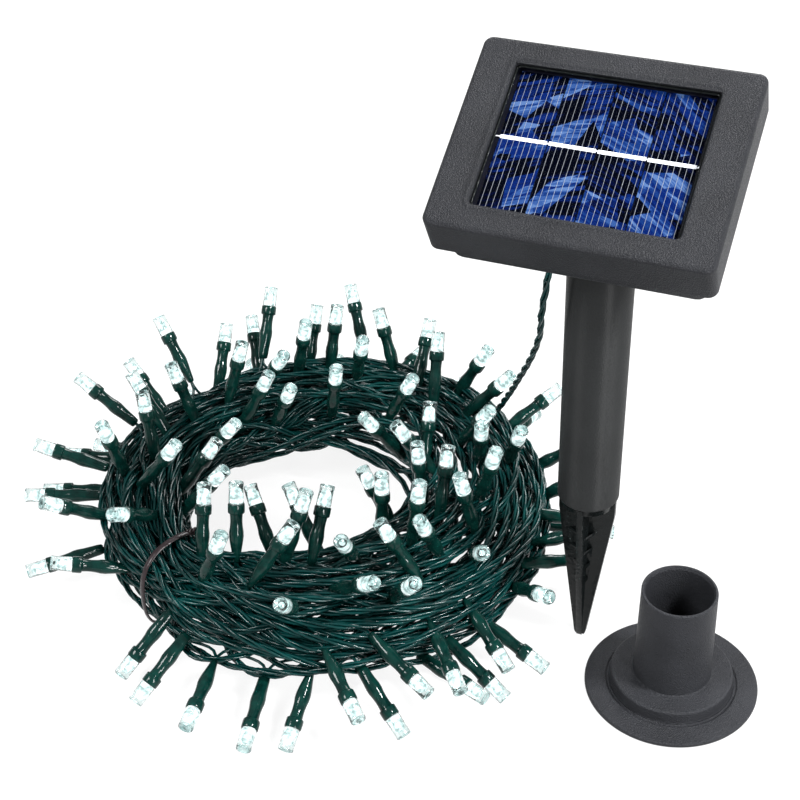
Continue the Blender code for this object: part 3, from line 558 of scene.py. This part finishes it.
def off_lamps(azimuth, section, bases, tips, clear):
    """Moves that take the cord out of the lamps' sleeves."""
    points = to_world(azimuth, section)
    out = columns(np.cos(azimuth), np.sin(azimuth))
    move = np.zeros_like(section)
    along = tips - bases
    for base, axis in zip(bases, along):
        near = np.where(np.abs(points - (base + axis / 2)).max(axis=1) < 24.0)[0]
        if not len(near):
            continue
        local = points[near] - base
        share = np.clip(local @ axis / (axis @ axis), 0.0, 1.0)
        away = local - share[:, None] * axis
        dist = norm(away, axis=1) + 1e-6
        push = np.clip(clear - dist, 0.0, None)[:, None] * away / dist[:, None]
        move[near, 0] += (push[:, :2] * out[near]).sum(axis=1)
        move[near, 1] += push[:, 2]
    return move


def relax(azimuth, section, rounds, anchors=None, lamps=None):
    """Settle the turns: a diameter apart, inside the coil's section, bends eased."""
    landing = section[0].copy()
    for step in range(rounds):
        wide = push_apart(section, CORD_D * 1.5, 0.10)
        section = section + wide + push_apart(section, CORD_D * 1.02, 0.40)
        if lamps is not None and step % 2:
            section = section + 0.5 * off_lamps(azimuth, section, *lamps, CORD_D / 2 + 2.3)
        if anchors is not None:
            for index, target in anchors:
                span = np.arange(max(1, index - 9), min(len(section), index + 10))
                weight = 0.35 * np.exp(-((span - index) / 4.0) ** 2)[:, None]
                section[span] += weight * (target - section[index])
        section = ease(section, 0.45)
        section[:] = keep_inside(section, azimuth)
        settle = np.exp(-(np.arange(len(section)) / 9.0) ** 2)[:, None]
        section = section * (1 - settle) + landing * settle
    return section


def arc_length(points):
    return np.concatenate([[0.0], np.cumsum(norm(np.diff(points, axis=0), axis=1))])


def lead_line():
    leave = [HEAD @ Vector((GROMMET_U, GROMMET_V, LEAD_START - step)) for step in (0.0, 7.0)]
    return smooth_through([tuple(p) for p in leave] + list(LEAD), 6)


def tie_path():
    """Closed loop in mm just outside the bundle, where the tie goes."""
    azimuth = math.radians(TIE_AZIMUTH)
    middle, half_w, height, half_h = section_at(azimuth)
    turn = math.tau * np.arange(64) / 64
    swell = (np.abs(np.cos(turn)) ** 2.5 + np.abs(np.sin(turn)) ** 2.5) ** -0.4
    radius = middle + (half_w + 0.5) * swell * np.cos(turn)
    z = np.maximum(height + (half_h + 0.5) * swell * np.sin(turn), 0.5)
    skew = azimuth - np.radians(2.5) * (1.0 - np.cos(turn))
    return to_world(skew, columns(radius, z))


def spike_way():
    """Points round the pole's axis, over the height that the pole and the pulled spike fill."""
    turn = math.tau * np.arange(6) / 6
    ring = SPIKE_CLEAR * columns(np.cos(turn), np.sin(turn))
    heights = np.arange(-25.0, POLE_TOP, 5.0)
    return np.array([(x, y, z) for z in heights for x, y in ring])


def lamp_choice(rng, azimuth):
    """Candidate angle round the section, rise and sideways lean of a lamp."""
    degrees = math.degrees(azimuth) % 360.0
    front = 215.0 < degrees < 325.0
    back = 35.0 < degrees < 150.0
    kind = rng.uniform()
    if back and kind < 0.24:
        ranges = (-35, 5), (-25, 15)
    elif kind < (0.52 if back else 0.46):
        if front:
            ranges = (-15, 35), (-65, -15)
        elif back:
            ranges = (15, 70), (35, 80)
        else:
            ranges = (-15, 45), (-12, 40)
    elif kind < 0.84:
        ranges = (55, 120), (40, 125)
    else:
        ranges = (130, 165), (75, 140)
    return [math.radians(rng.uniform(*span)) for span in (*ranges, (-32, 32))]


def lamp_axis(azimuth, rise, lean):
    """Unit vector that rises from the outward radius, turned sideways by lean."""
    out = np.array([math.cos(azimuth), math.sin(azimuth), 0.0])
    side = np.array([-out[1], out[0], 0.0])
    flat = math.cos(rise) * out + math.sin(rise) * np.array([0.0, 0.0, 1.0])
    return unit(math.cos(lean) * flat + math.sin(lean) * side)


def cad_lamps():
    """Base and tip in mm of each lamp in the CAD model, from its lens and sleeve."""
    found = []
    for lens in sorted(name for name in frame["nodes"] if name.startswith("lamp_lens_")):
        ends = []
        for name in (lens.replace("lens", "sleeve"), lens):
            places = np.array([v.co for v in frame["nodes"][name].data.vertices]) / MM
            ends.append((places.min(axis=0) + places.max(axis=0)) / 2)
        axis = unit(ends[1] - ends[0])
        tip = ends[1] + axis * ((places - ends[1]) @ axis).max()
        found.append((tip - axis * LAMP_L, tip))
    return found


def place_lamps(rng, azimuth, section, lead_length):
    """Choose each lamp's spot on the cord, its surface anchor, base and tip."""
    points = to_world(azimuth, section)
    along = lead_length + arc_length(points)
    total = along[-1]
    shares = UNLIT + (1.0 - UNLIT) * (np.arange(LAMP_COUNT) + 1) / LAMP_COUNT
    spots = np.minimum(np.searchsorted(along, total * shares), len(points) - 1).tolist()
    slide = round(LAMP_SLIDE / (total - lead_length) * len(points))
    fixed = {}
    for number, (base, tip) in enumerate(cad_lamps()):
        way = math.atan2(base[1] - CENTRE[1], base[0] - CENTRE[0])
        free = [i for i in range(LAMP_COUNT) if i not in fixed]
        fixed[min(free, key=lambda i: abs(wrapped(azimuth[spots[i]] - way)))] = (number, base, tip)
    shares = np.linspace(0.0, 1.0, 4)[:, None]
    placed = [base + shares * (tip - base) for _, base, tip in fixed.values()] + [tie_path(), spike_way()]
    lamps = {}
    for index, spot in enumerate(spots):
        way = azimuth[spot]
        if index in fixed:
            number, base, tip = fixed[index]
            middle, half_w, height, half_h = section_at(way)
            reach = math.hypot(base[0] - CENTRE[0], base[1] - CENTRE[1])
            angle = math.atan2((base[2] - height) / half_h, (reach - middle) / half_w)
            lamps[index] = (spot, section_spot(way, angle, 2, 2), base, tip, number)
            continue
        best = None
        for _ in range(40):
            spot = min(len(points) - 1, max(0, spots[index] + rng.integers(-slide, slide + 1)))
            way = azimuth[spot]
            angle, rise, lean = lamp_choice(rng, way)
            target = section_spot(way, angle, 5, 4)
            axis = lamp_axis(way, rise, lean)
            base = to_world(np.array(way), target) - 1.0 * axis
            tip = base + LAMP_L * axis
            if tip[2] < LAMP_LOW:
                dip = (LAMP_LOW - base[2]) / LAMP_L
                axis = unit(axis * [1, 1, 0]) * math.sqrt(1.0 - dip * dip) + [0, 0, dip]
                tip = base + LAMP_L * axis
            mine = base + shares * (tip - base)
            clear = min(norm(mine[:, None] - other[None], axis=-1).min() for other in placed)
            if best is None or clear > best[0]:
                best = (clear, spot, target, base, tip)
            if clear > LAMP_APART:
                break
        _, spot, target, base, tip = best
        placed.append(base + shares * (tip - base))
        lamps[index] = (spot, target, base, tip, None)
    return lamps


def resample(points, step):
    along = arc_length(points)
    places = np.linspace(0.0, along[-1], max(2, round(along[-1] / step) + 1))
    return columns(*(np.interp(places, along, points[:, i]) for i in range(3)))


def side_frames(points):
    """Two unit vectors across the line at each point, carried along it without twist."""
    ahead = np.gradient(points, axis=0)
    ahead /= norm(ahead, axis=1)[:, None]
    across = np.empty_like(ahead)
    side = np.cross(ahead[0], [0.0, 0.0, 1.0])
    if norm(side) < 1e-3:
        side = np.array([1.0, 0.0, 0.0])
    for i, way in enumerate(ahead):
        side = side - way * (side @ way)
        side = side / norm(side)
        across[i] = side
    return across, np.cross(ahead, across)


def tube(centre, across, up, radius, sides, closed=False):
    """Points and faces of a tube along a line, capped or closed on itself."""
    turn = math.tau * np.arange(sides) / sides
    ring = radius * (np.cos(turn)[None, :, None] * across[:, None]
                     + np.sin(turn)[None, :, None] * up[:, None])
    return (centre[:, None] + ring).reshape(-1, 3), ring_faces(len(centre), sides, closed)


def joined_mesh(name, parts, angle=40.0):
    """One mesh of parts that are each points and faces."""
    points, faces, start = [], [], 0
    for part_points, part_faces in parts:
        points.append(part_points)
        faces += [[start + i for i in face] for face in part_faces]
        start += len(part_points)
    return mesh_from(name, np.vstack(points), faces, angle)


def twisted_cord(name, line):
    """Mesh of the insulated wires twisted round the line."""
    across, up = side_frames(line)
    apart = CORD_D / 2 - WIRE_R
    parts = []
    for wire in range(WIRES):
        phase = (math.tau * (arc_length(line) / TWIST_PITCH + wire / WIRES))[:, None]
        out = np.cos(phase) * across + np.sin(phase) * up
        round_it = -np.sin(phase) * across + np.cos(phase) * up
        parts.append(tube(line + apart * out, out, round_it, WIRE_R, WIRE_SIDES))
    return joined_mesh(name, parts, 80.0)


def make_cords():
    """The lead and the coil as two lengths of twisted cord.

    Returns the coil's line, the lamps on it, and each cord with its line."""
    rng = np.random.default_rng(SEED)
    azimuth, section = first_winding(rng)
    landing_r = math.hypot(LEAD[-1][0] - COIL_X, LEAD[-1][1] - COIL_Y)
    section[0] = (landing_r, LEAD[-1][2])
    section = relax(azimuth, section, 70)
    lead = lead_line()
    lead_length = arc_length(lead)[-1]
    lamps = place_lamps(rng, azimuth, section, lead_length)
    anchors = [(spot, target) for spot, target, *_ in lamps.values()]
    lamp_ends = [np.array([lamp[i] for lamp in lamps.values()]) for i in (2, 3)]
    section = relax(azimuth, section, 90, anchors, lamp_ends)
    coil = to_world(azimuth, section)
    half = lamps[LAMP_COUNT // 2 - 1][0]
    last = lamps[LAMP_COUNT - 1][0]
    lines = [np.vstack([lead[:-1], coil[:half + 1]]), coil[half:last + 1]]
    cords = []
    for number, line in enumerate(lines):
        fine = resample(smooth_through(line, 4), RING_STEP)
        name = "lamp_cord_%d" % (number + 1)
        body = "root" if number else None
        cord = add_object(twisted_cord(name, fine), body, CORD_GREEN)
        if number == 0:
            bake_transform(cord)
            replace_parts(cord, "lead_cord", "cord_coil")
        cords.append((cord, fine))
    return coil, lamps, cords


coil_line, lamps, cords = make_cords()


# ---- lamps ----
def sleeve_mesh():
    """Heat-shrunk sleeve: pinched flat where the wires enter, a bulge, then the collar."""
    collar = LAMP_L - LENS_L
    profile = [(0.0, 0.0), (1.2, 0.0), (1.7, 0.5), (1.95, 2.0), (2.15, 4.5), (2.45, 7.5), (2.75, 10.0),
               (2.72, 11.8), (2.45, 13.4), (2.28, 15.4), (2.3, 17.2), (2.42, 18.7), (2.5, 19.0), (3.0, 19.2),
               (3.15, 19.5), (3.18, 20.6), (3.15, collar - 0.5), (3.02, collar - 0.2), (2.85, collar - 0.15),
               (0.0, collar - 0.15)]
    mesh = mesh_from("lamp_sleeve", *lathe(profile, 20), 50.0)
    for vertex in mesh.vertices:
        low = max(0.0, 1.0 - vertex.co.z / (7.0 * MM))
        vertex.co.x *= 1.0 + 0.25 * low
        vertex.co.y *= 1.0 - 0.35 * low
    return mesh


def lens_mesh():
    """Clear cylinder with a dished end, and the lit core standing inside it. The rim and the dished end take
    a darker copy of the clear plastic: painted shade.
    """
    start = LAMP_L - LENS_L
    profile = [(0.0, start), (2.7, start), (LENS_R, start + 0.3), (LENS_R - 0.1, LAMP_L - 1.8),
               (LENS_R, LAMP_L - 0.4), (LENS_R - 0.12, LAMP_L - 0.08), (LENS_R - 0.35, LAMP_L),
               (LENS_R - 0.6, LAMP_L - 0.15), (1.3, LAMP_L - 0.75), (0.0, LAMP_L - DISH)]
    core = [(0.0, start + 0.4), (1.7, start + 0.4), (1.7, start + 1.6), (1.55, start + 3.4),
            (1.4, start + 4.9), (1.0, start + 5.9), (0.0, start + 6.4)]
    shell = lathe(profile, 24)
    mesh = joined_mesh("lamp_lens", [shell, lathe(core, 16)], 50.0)
    for face in mesh.polygons:
        if face.index >= len(shell[1]):
            face.material_index = 1
        # painted shade: the last millimetre, rim and dished end, takes the darker copy of the lens plastic
        elif face.center.z > (LAMP_L - 1.0) * MM:
            face.material_index = 2
    return mesh


def lamp_matrix(base, tip, turn):
    axis = Vector(unit(tip - base))
    matrix = axis.to_track_quat("Z", "Y").to_matrix().to_4x4() @ Matrix.Rotation(turn, 4, "Z")
    matrix.translation = Vector(base) * MM
    return matrix


def fork(coil, spot, base, tip):
    """The cord opens at a lamp: one wire comes along it into the base, another goes back to it."""
    axis = unit(tip - base)
    parts = []
    for sign in (-1, 1):
        reach = min(max(spot + sign * 4, 0), len(coil) - 1)
        after = min(max(reach + sign, 0), len(coil) - 1)
        start, end = base + 0.6 * axis, coil[reach]
        way = coil[after] - coil[reach]
        way = unit(way) if norm(way) > 1e-6 else -axis
        t = np.linspace(0.0, 1.0, 10)[:, None]
        pull = 0.45 * norm(end - start)
        line = ((1 - t) ** 3 * start + 3 * (1 - t) ** 2 * t * (start - axis * pull)
                + 3 * (1 - t) * t ** 2 * (end - way * pull) + t ** 3 * end)
        line[:, 2] = np.maximum(line[:, 2], WIRE_R + 0.1)
        parts.append(tube(line, *side_frames(line), WIRE_R, 6))
    return parts


def make_lamps(coil, lamps):
    sleeve, lens = sleeve_mesh(), lens_mesh()
    sleeve.materials.append(SLEEVE_GREEN)
    for mat in (LENS_CLEAR, LAMP_LIGHT, LENS_RIM_PAINTED_SHADE):
        lens.materials.append(mat)
    forks, extra, named = [], 10, {}
    for index, (spot, _, base, tip, number) in sorted(lamps.items()):
        forks += fork(coil, spot, base, tip)
        extra += number is None
        label = "%03d" % (extra if number is None else number + 1)
        matrix = lamp_matrix(base, tip, 0.7 * index)
        pieces = []
        for kind, mesh, slot in (("sleeve", sleeve, "lamp_sleeve"), ("lens", lens, "lamp_lens")):
            piece = new_object("lamp_%s_%s" % (label, kind), mesh)
            piece.matrix_world = matrix
            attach(piece, "root")
            if number is not None:
                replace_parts(piece, "lamp_%s_%02d" % (kind, number + 1))
            pieces.append(piece)
        named[index] = pieces
    add_object(joined_mesh("lamp_wires", forks, 75.0), "root", CORD_GREEN)
    return named


lamp_pieces = make_lamps(coil_line, lamps)
for number, (cord, line) in enumerate(cords):
    round(arc_length(line)[-1] * MM, 2)


# ---- moulded pieces ----
def fillet(corners, steps=4):
    """Outline through (x, y, radius) corners, each rounded to its radius."""
    points = []
    for i, (x, y, radius) in enumerate(corners):
        here = np.array((x, y))
        if radius == 0.0:
            points.append((x, y))
            continue
        back = unit(np.subtract(corners[i - 1][:2], here))
        ahead = unit(np.subtract(corners[i + 1][:2], here))
        half = math.acos(float(np.clip(back @ ahead, -1.0, 1.0))) / 2
        centre = here + unit(back + ahead) * radius / math.sin(half)
        start = here + back * radius / math.tan(half) - centre
        end = here + ahead * radius / math.tan(half) - centre
        for step in range(steps + 1):
            spot = unit((1 - step / steps) * start + step / steps * end)
            points.append(tuple(centre + radius * spot))
    return points


def supported(outline):
    """Add a point close to both ends of each long straight side, so that smooth shading stays flat."""
    gap = 0.12
    points = [outline[0]]
    for a, b in zip(outline, outline[1:]):
        span = np.subtract(b, a)
        length = float(norm(span))
        if length > 6 * gap:
            points.append(tuple(np.add(a, span * gap / length)))
            points.append(tuple(np.subtract(b, span * gap / length)))
        points.append(b)
    return points


def rounded_rect(width, height, radius, up=0.0):
    points, steps = [], 10
    for corner, (side_x, side_y) in enumerate(((1, 1), (-1, 1), (-1, -1), (1, -1))):
        centre = (side_x * (width / 2 - radius), side_y * (height / 2 - radius) + up)
        for step in range(steps + 1):
            turn = math.radians(90.0 * corner + 90.0 * step / steps)
            points.append((centre[0] + radius * math.cos(turn), centre[1] + radius * math.sin(turn)))
    return points


def bezel_outline(inset):
    return rounded_rect(BEZEL_W - 2 * inset, BEZEL_H - 2 * inset, max(1.0, BEZEL_R - inset))


def window_outline(grow):
    return rounded_rect(WINDOW_W + 2 * grow, WINDOW_H + 2 * grow, WINDOW_R + grow, WINDOW_UP)


def ring_mesh(name, rings, angle=40.0):
    """Closed loop of (outline, z) rings joined side to side."""
    points = [(x, y, z) for outline, z in rings for x, y in outline]
    return mesh_from(name, points, ring_faces(len(rings), len(rings[0][0]), True), angle)


def outward(mesh):
    bm = bmesh.new()
    bm.from_mesh(mesh)
    bmesh.ops.recalc_face_normals(bm, faces=bm.faces)
    bm.to_mesh(mesh)
    bm.free()
    return mesh


def place_piece(mesh, matrix, body, slot, mat, *nodes):
    """Add a piece at a placement and let it stand for CAD nodes."""
    obj = add_object(outward(mesh), None, mat)
    obj.matrix_world = matrix
    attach(obj, body)
    if nodes:
        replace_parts(obj, *nodes)
    return obj


def make_bezel():
    """Face frame with rounded edges and a softly rolled lip round the window."""
    corners = [(BEZEL_WALL, -BEZEL_D, 0.0), (0.0, -BEZEL_D, 0.5), (0.0, 0.0, 1.5), (9.0, -0.15, 0.0)]
    rings = [(bezel_outline(inset), z) for inset, z in supported(fillet(corners, 6))]
    lip = [(2.2, -0.15, 0.0), (1.2, 0.05, 0.5), (0.0, -0.1, 0.7), (0.0, -FACE_T, 0.0)]
    rings += [(window_outline(grow), z) for grow, z in supported(fillet(lip, 5))]
    rings.append((bezel_outline(BEZEL_WALL), -FACE_T))
    place_piece(ring_mesh("bezel_moulding", rings), IN_HEAD, "head", "charcoal_plastic", CHARCOAL,
                "bezel_frame")


def make_window_bead():
    """Bead of sealant in the corner between the window's wall and the glaze."""
    turns = [math.tau * step / 8 for step in range(8)]
    rings = [(window_outline(-0.42 + 0.45 * math.cos(turn)), -2.25 + 0.45 * math.sin(turn))
             for turn in turns]
    place_piece(ring_mesh("window_bead", rings, 80.0), IN_HEAD, "head", "black_rubber", BLACK)


def bar(left, right, middle, half, low, high):
    """Points and faces of a flat box on the cells, from its middle line across and its heights."""
    points = [(x, y, CELL_TOP + z) for z in (low, high) for x, y in
              ((left, middle - half), (right, middle - half), (right, middle + half), (left, middle + half))]
    return np.array(points), ring_faces(2, 4)


def make_contacts():
    """Printed fingers on each cell, and the tinned ribbon that joins the cells in series."""
    fingers, ribbons = [], []
    rng = np.random.default_rng(SEED)
    for index in range(CELL_COUNT):
        middle = (index - (CELL_COUNT - 1) / 2) * CELL_PITCH
        for finger in range(FINGERS):
            u = middle + CELL_W * ((finger + 0.5) / FINGERS - 0.5)
            fingers.append(bar(u - FINGER_W / 2, u + FINGER_W / 2, WINDOW_UP, CELL_H / 2 - 0.4, 0.01, 0.05))
        slip, tip = rng.uniform(-0.12, 0.12, 2)
        low, high = middle - CELL_W / 2 + 0.15, middle + CELL_W / 2 - 0.15
        points, faces = bar(low, high, RIBBON_UP, RIBBON_W / 2, 0.06, 0.2)
        points[:, 1] += slip + tip * (points[:, 0] - middle) / CELL_W
        ribbons.append((points, faces))
        ribbons.append(bar(high - 0.4, high + 0.75, RIBBON_UP + slip, 0.22, 0.03, 0.09))
    edge = CELL_COUNT * CELL_PITCH / 2
    ribbons.append(bar(edge, edge + 1.3, RIBBON_UP, 0.3, 0.03, 0.12))
    ribbons.append(bar(-edge - 1.2, -edge + 0.4, RIBBON_UP, 0.2, 0.03, 0.1))
    place_piece(joined_mesh("cell_fingers", fingers), IN_HEAD, "head", "tinned_ribbon", TINNED)
    place_piece(joined_mesh("ribbon_segments", ribbons), IN_HEAD, "head", "tinned_ribbon",
                RIBBON_WHITE, "cell_ribbon")


def make_pole():
    outline = [(POLE_BORE, POLE_FOOT, 0.0), (POLE_R_FOOT, POLE_FOOT, 0.9), (POLE_R_TOP, POLE_TOP, 0.5),
               (POLE_BORE, POLE_TOP, 0.0)]
    mesh = mesh_from("pole_moulding", *lathe(supported(fillet(outline)), 96))
    place_piece(mesh, Matrix.Identity(4), "pole", "charcoal_plastic", SMOOTH_CHARCOAL, "pole_tube")


def make_stand():
    """Flange with a groove and a bead at the foot of the step, then the socket with its mouth."""
    step, socket = STAND_STEP_R, SOCKET_R
    outline = [(0.0, 0.0, 0.0), (STAND_R, 0.0, 0.5), (STAND_R, 1.7, 0.8), (step + 1.9, 2.6, 0.5),
               (step + 1.2, 1.9, 0.3), (step + 0.75, 2.9, 0.3), (step + 0.35, 2.3, 0.2),
               (step, STAND_STEP_Z, 0.9), (socket + 0.6, STAND_STEP_Z + 0.5, 0.6), (socket, SOCKET_TOP, 0.5),
               (SOCKET_MOUTH_R + 0.3, SOCKET_TOP, 0.25), (SOCKET_MOUTH_R - 0.3, SOCKET_TOP - 1.2, 0.3),
               (SOCKET_FOOT_R, 16.0, 0.5), (SOCKET_FOOT_R, 3.0, 0.4), (0.0, 3.0, 0.0)]
    mesh = mesh_from("stand_moulding", *lathe(supported(fillet(outline)), 112))
    place_piece(mesh, Matrix.Translation((STAND_X * MM, STAND_Y * MM, 0.0)), "base_stand",
                "charcoal_plastic", STAND_CHARCOAL, "base_stand")


def refined(name, node, mat, width):
    """Copy of a CAD moulding with its edges sharper than 25 degrees rounded over."""
    bm = bmesh.new()
    bm.from_mesh(frame["nodes"][node].data)
    bmesh.ops.remove_doubles(bm, verts=bm.verts, dist=1e-6)
    bmesh.ops.dissolve_limit(bm, angle_limit=math.radians(1.0), verts=bm.verts, edges=bm.edges)
    sharp = [e for e in bm.edges if len(e.link_faces) == 2 and e.calc_face_angle() > math.radians(25.0)]
    bmesh.ops.bevel(bm, geom=sharp, offset=width * MM, segments=2, profile=0.5, affect="EDGES",
                    clamp_overlap=True)
    bmesh.ops.triangulate(bm, faces=[f for f in bm.faces if len(f.verts) > 4])
    mesh = bpy.data.meshes.new(name)
    bm.to_mesh(mesh)
    bm.free()
    mesh.shade_smooth()
    mesh.set_sharp_from_angle(angle=math.radians(50.0))
    obj = add_object(mesh, frame["nodes"][node]["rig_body"], mat)
    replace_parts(obj, node)
    return obj


def make_tie():
    """Flat tie round the bundle, drawn tight, with its ends twisted together on the inner side."""
    azimuth = math.radians(TIE_AZIMUTH)
    path = tie_path()
    side = np.array([-math.sin(azimuth), math.cos(azimuth), 0.0])
    up = np.array([0.0, 0.0, 1.0])
    ahead = np.roll(path, -1, axis=0) - np.roll(path, 1, axis=0)
    out = np.cross(ahead, side)
    out /= norm(out, axis=1)[:, None]
    wide = np.tile(TIE_W / 2 * side, (len(path), 1))
    parts = [tube(path, wide, TIE_T / 2 * out, 1.0, 10, closed=True)]
    knot = section_spot(azimuth, math.radians(KNOT_TURN), -0.6, -0.6)
    start = to_world(np.array(azimuth - math.radians(4.0)), knot)
    inward = np.array([-math.cos(azimuth), -math.sin(azimuth), 0.0])
    for phase in (0.0, math.pi):
        t = np.linspace(0.0, 1.0, 22)[:, None]
        line = start + inward * TAIL_L * t + up * 3.2 * t * (1 - 0.9 * t) + side * 3.0 * t ** 2
        wind = math.tau * TAIL_TURNS * t + phase
        line = line + 0.62 * (np.cos(wind) * side + np.sin(wind) * up)
        parts.append(tube(line, *side_frames(line), 0.6, 8))
    mesh = outward(joined_mesh("tie_loop", parts, 60.0))
    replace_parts(add_object(mesh, "root", TIE), "twist_tie")


make_bezel()
make_window_bead()
make_contacts()
make_pole()
make_stand()
make_tie()
for name, node, slot, mat, width in (
        ("spike_moulding", "ground_spike", "black_plastic", BLACK, 0.28),
        ("housing_moulding", "back_housing", "charcoal_plastic", CHARCOAL, 0.3),
        ("door_moulding", "battery_door", "charcoal_plastic", CHARCOAL, 0.25),
        ("knuckle_moulding", "tilt_knuckle", "charcoal_plastic", SMOOTH_CHARCOAL, 0.3),
        ("slider_knob", "power_slider", "black_plastic", BLACK, 0.3),
        ("button_cap", "mode_button", "black_rubber", RUBBER, 0.3),
        ("strain_relief", "cable_grommet", "black_rubber", RUBBER, 0.25)):
    refined(name, node, mat, width)

FINISHES = {
    "panel_glaze": GLAZE, "panel_board": LACQUER_BLACK, "circuit_board": LACQUER_GREEN,
    "battery_cell": JACKET, "boost_inductor": COPPER, "battery_cradle": BLACK, "driver_chip": BLACK,
    "button_switch": BLACK, "storage_capacitor": STEEL, "switch_body": STEEL, "contact_spring": STEEL,
    "door_hinge_pin": STEEL,
}
for name, node in frame["nodes"].items():
    if name.startswith("solar_cell_"):
        finish = make_cell_material(int(name[-1]))
    elif name.startswith(("housing_screw", "contact_plate", "hinge_")):
        finish = STEEL
    else:
        finish = FINISHES.get(name, CHARCOAL)
    node.data.materials.clear()
    node.data.materials.append(finish)


# ---- floor, light and camera ----
CAMERA_PLACE = (-0.0668, -0.46665, 0.45743)   # metres
CAMERA_PITCH, CAMERA_ROLL = 36.47, 1.51       # degrees down from level, and about the view's axis
FOCAL = 2.1075                                # focal length in frame widths
WHITE = (1.0, 1.0, 1.0, 1.0)


def make_floor():
    mesh = bpy.data.meshes.new("floor")
    half = 3.0
    corners = [(-half, -half, 0), (half, -half, 0), (half, half, 0), (-half, half, 0)]
    mesh.from_pydata(corners, [], [(0, 1, 2, 3)])
    floor = new_object("floor", mesh)
    floor.location.z = -0.0004
    mesh.materials.append(new_material("floor_paper", (0.13, 0.13, 0.13), 0.9, Specular_IOR_Level=0.1,
                                       Emission_Color=WHITE, Emission_Strength=0.88))


def make_light(name, place, target, size, power):
    light = bpy.data.lights.new(name, "AREA")
    light.shape = "RECTANGLE"
    light.size, light.size_y = size
    light.energy = power
    obj = new_object(name, light)
    obj.location = place
    obj.rotation_mode = "QUATERNION"
    obj.rotation_quaternion = (Vector(target) - Vector(place)).to_track_quat("-Z", "Y")


def make_camera():
    data = bpy.data.cameras.new("camera")
    data.sensor_width = 36.0
    data.lens = data.sensor_width * FOCAL
    data.clip_start, data.clip_end = 0.05, 20.0
    camera = new_object("camera", data)
    pitch = Matrix.Rotation(math.radians(90.0 - CAMERA_PITCH), 4, "X")
    roll = Matrix.Rotation(math.radians(-CAMERA_ROLL), 4, "Z")
    camera.matrix_world = Matrix.Translation(CAMERA_PLACE) @ pitch @ roll
    bpy.context.scene.camera = camera


def make_world():
    world = bpy.data.worlds.new("studio")
    bpy.context.scene.world = world
    world.use_nodes = True
    back = world.node_tree.nodes["Background"]
    back.inputs["Color"].default_value = WHITE
    back.inputs["Strength"].default_value = 0.5


make_floor()
make_world()
make_light("key", (0.65, -0.35, 1.05), (0.0, 0.0, 0.1), (0.22, 0.22), 30.0)
make_light("fill", (-0.85, -0.35, 0.9), (-0.08, 0.0, 0.1), (0.4, 0.4), 15.0)
make_light("strip", (0.42, -0.95, 0.5), (0.0, 0.0, 0.12), (0.12, 0.6), 12.0)
make_light("rear", (0.25, 1.0, 0.75), (-0.05, 0.05, 0.1), (0.5, 0.5), 12.0)
make_camera()
bpy.context.scene.view_settings.view_transform = "Standard"
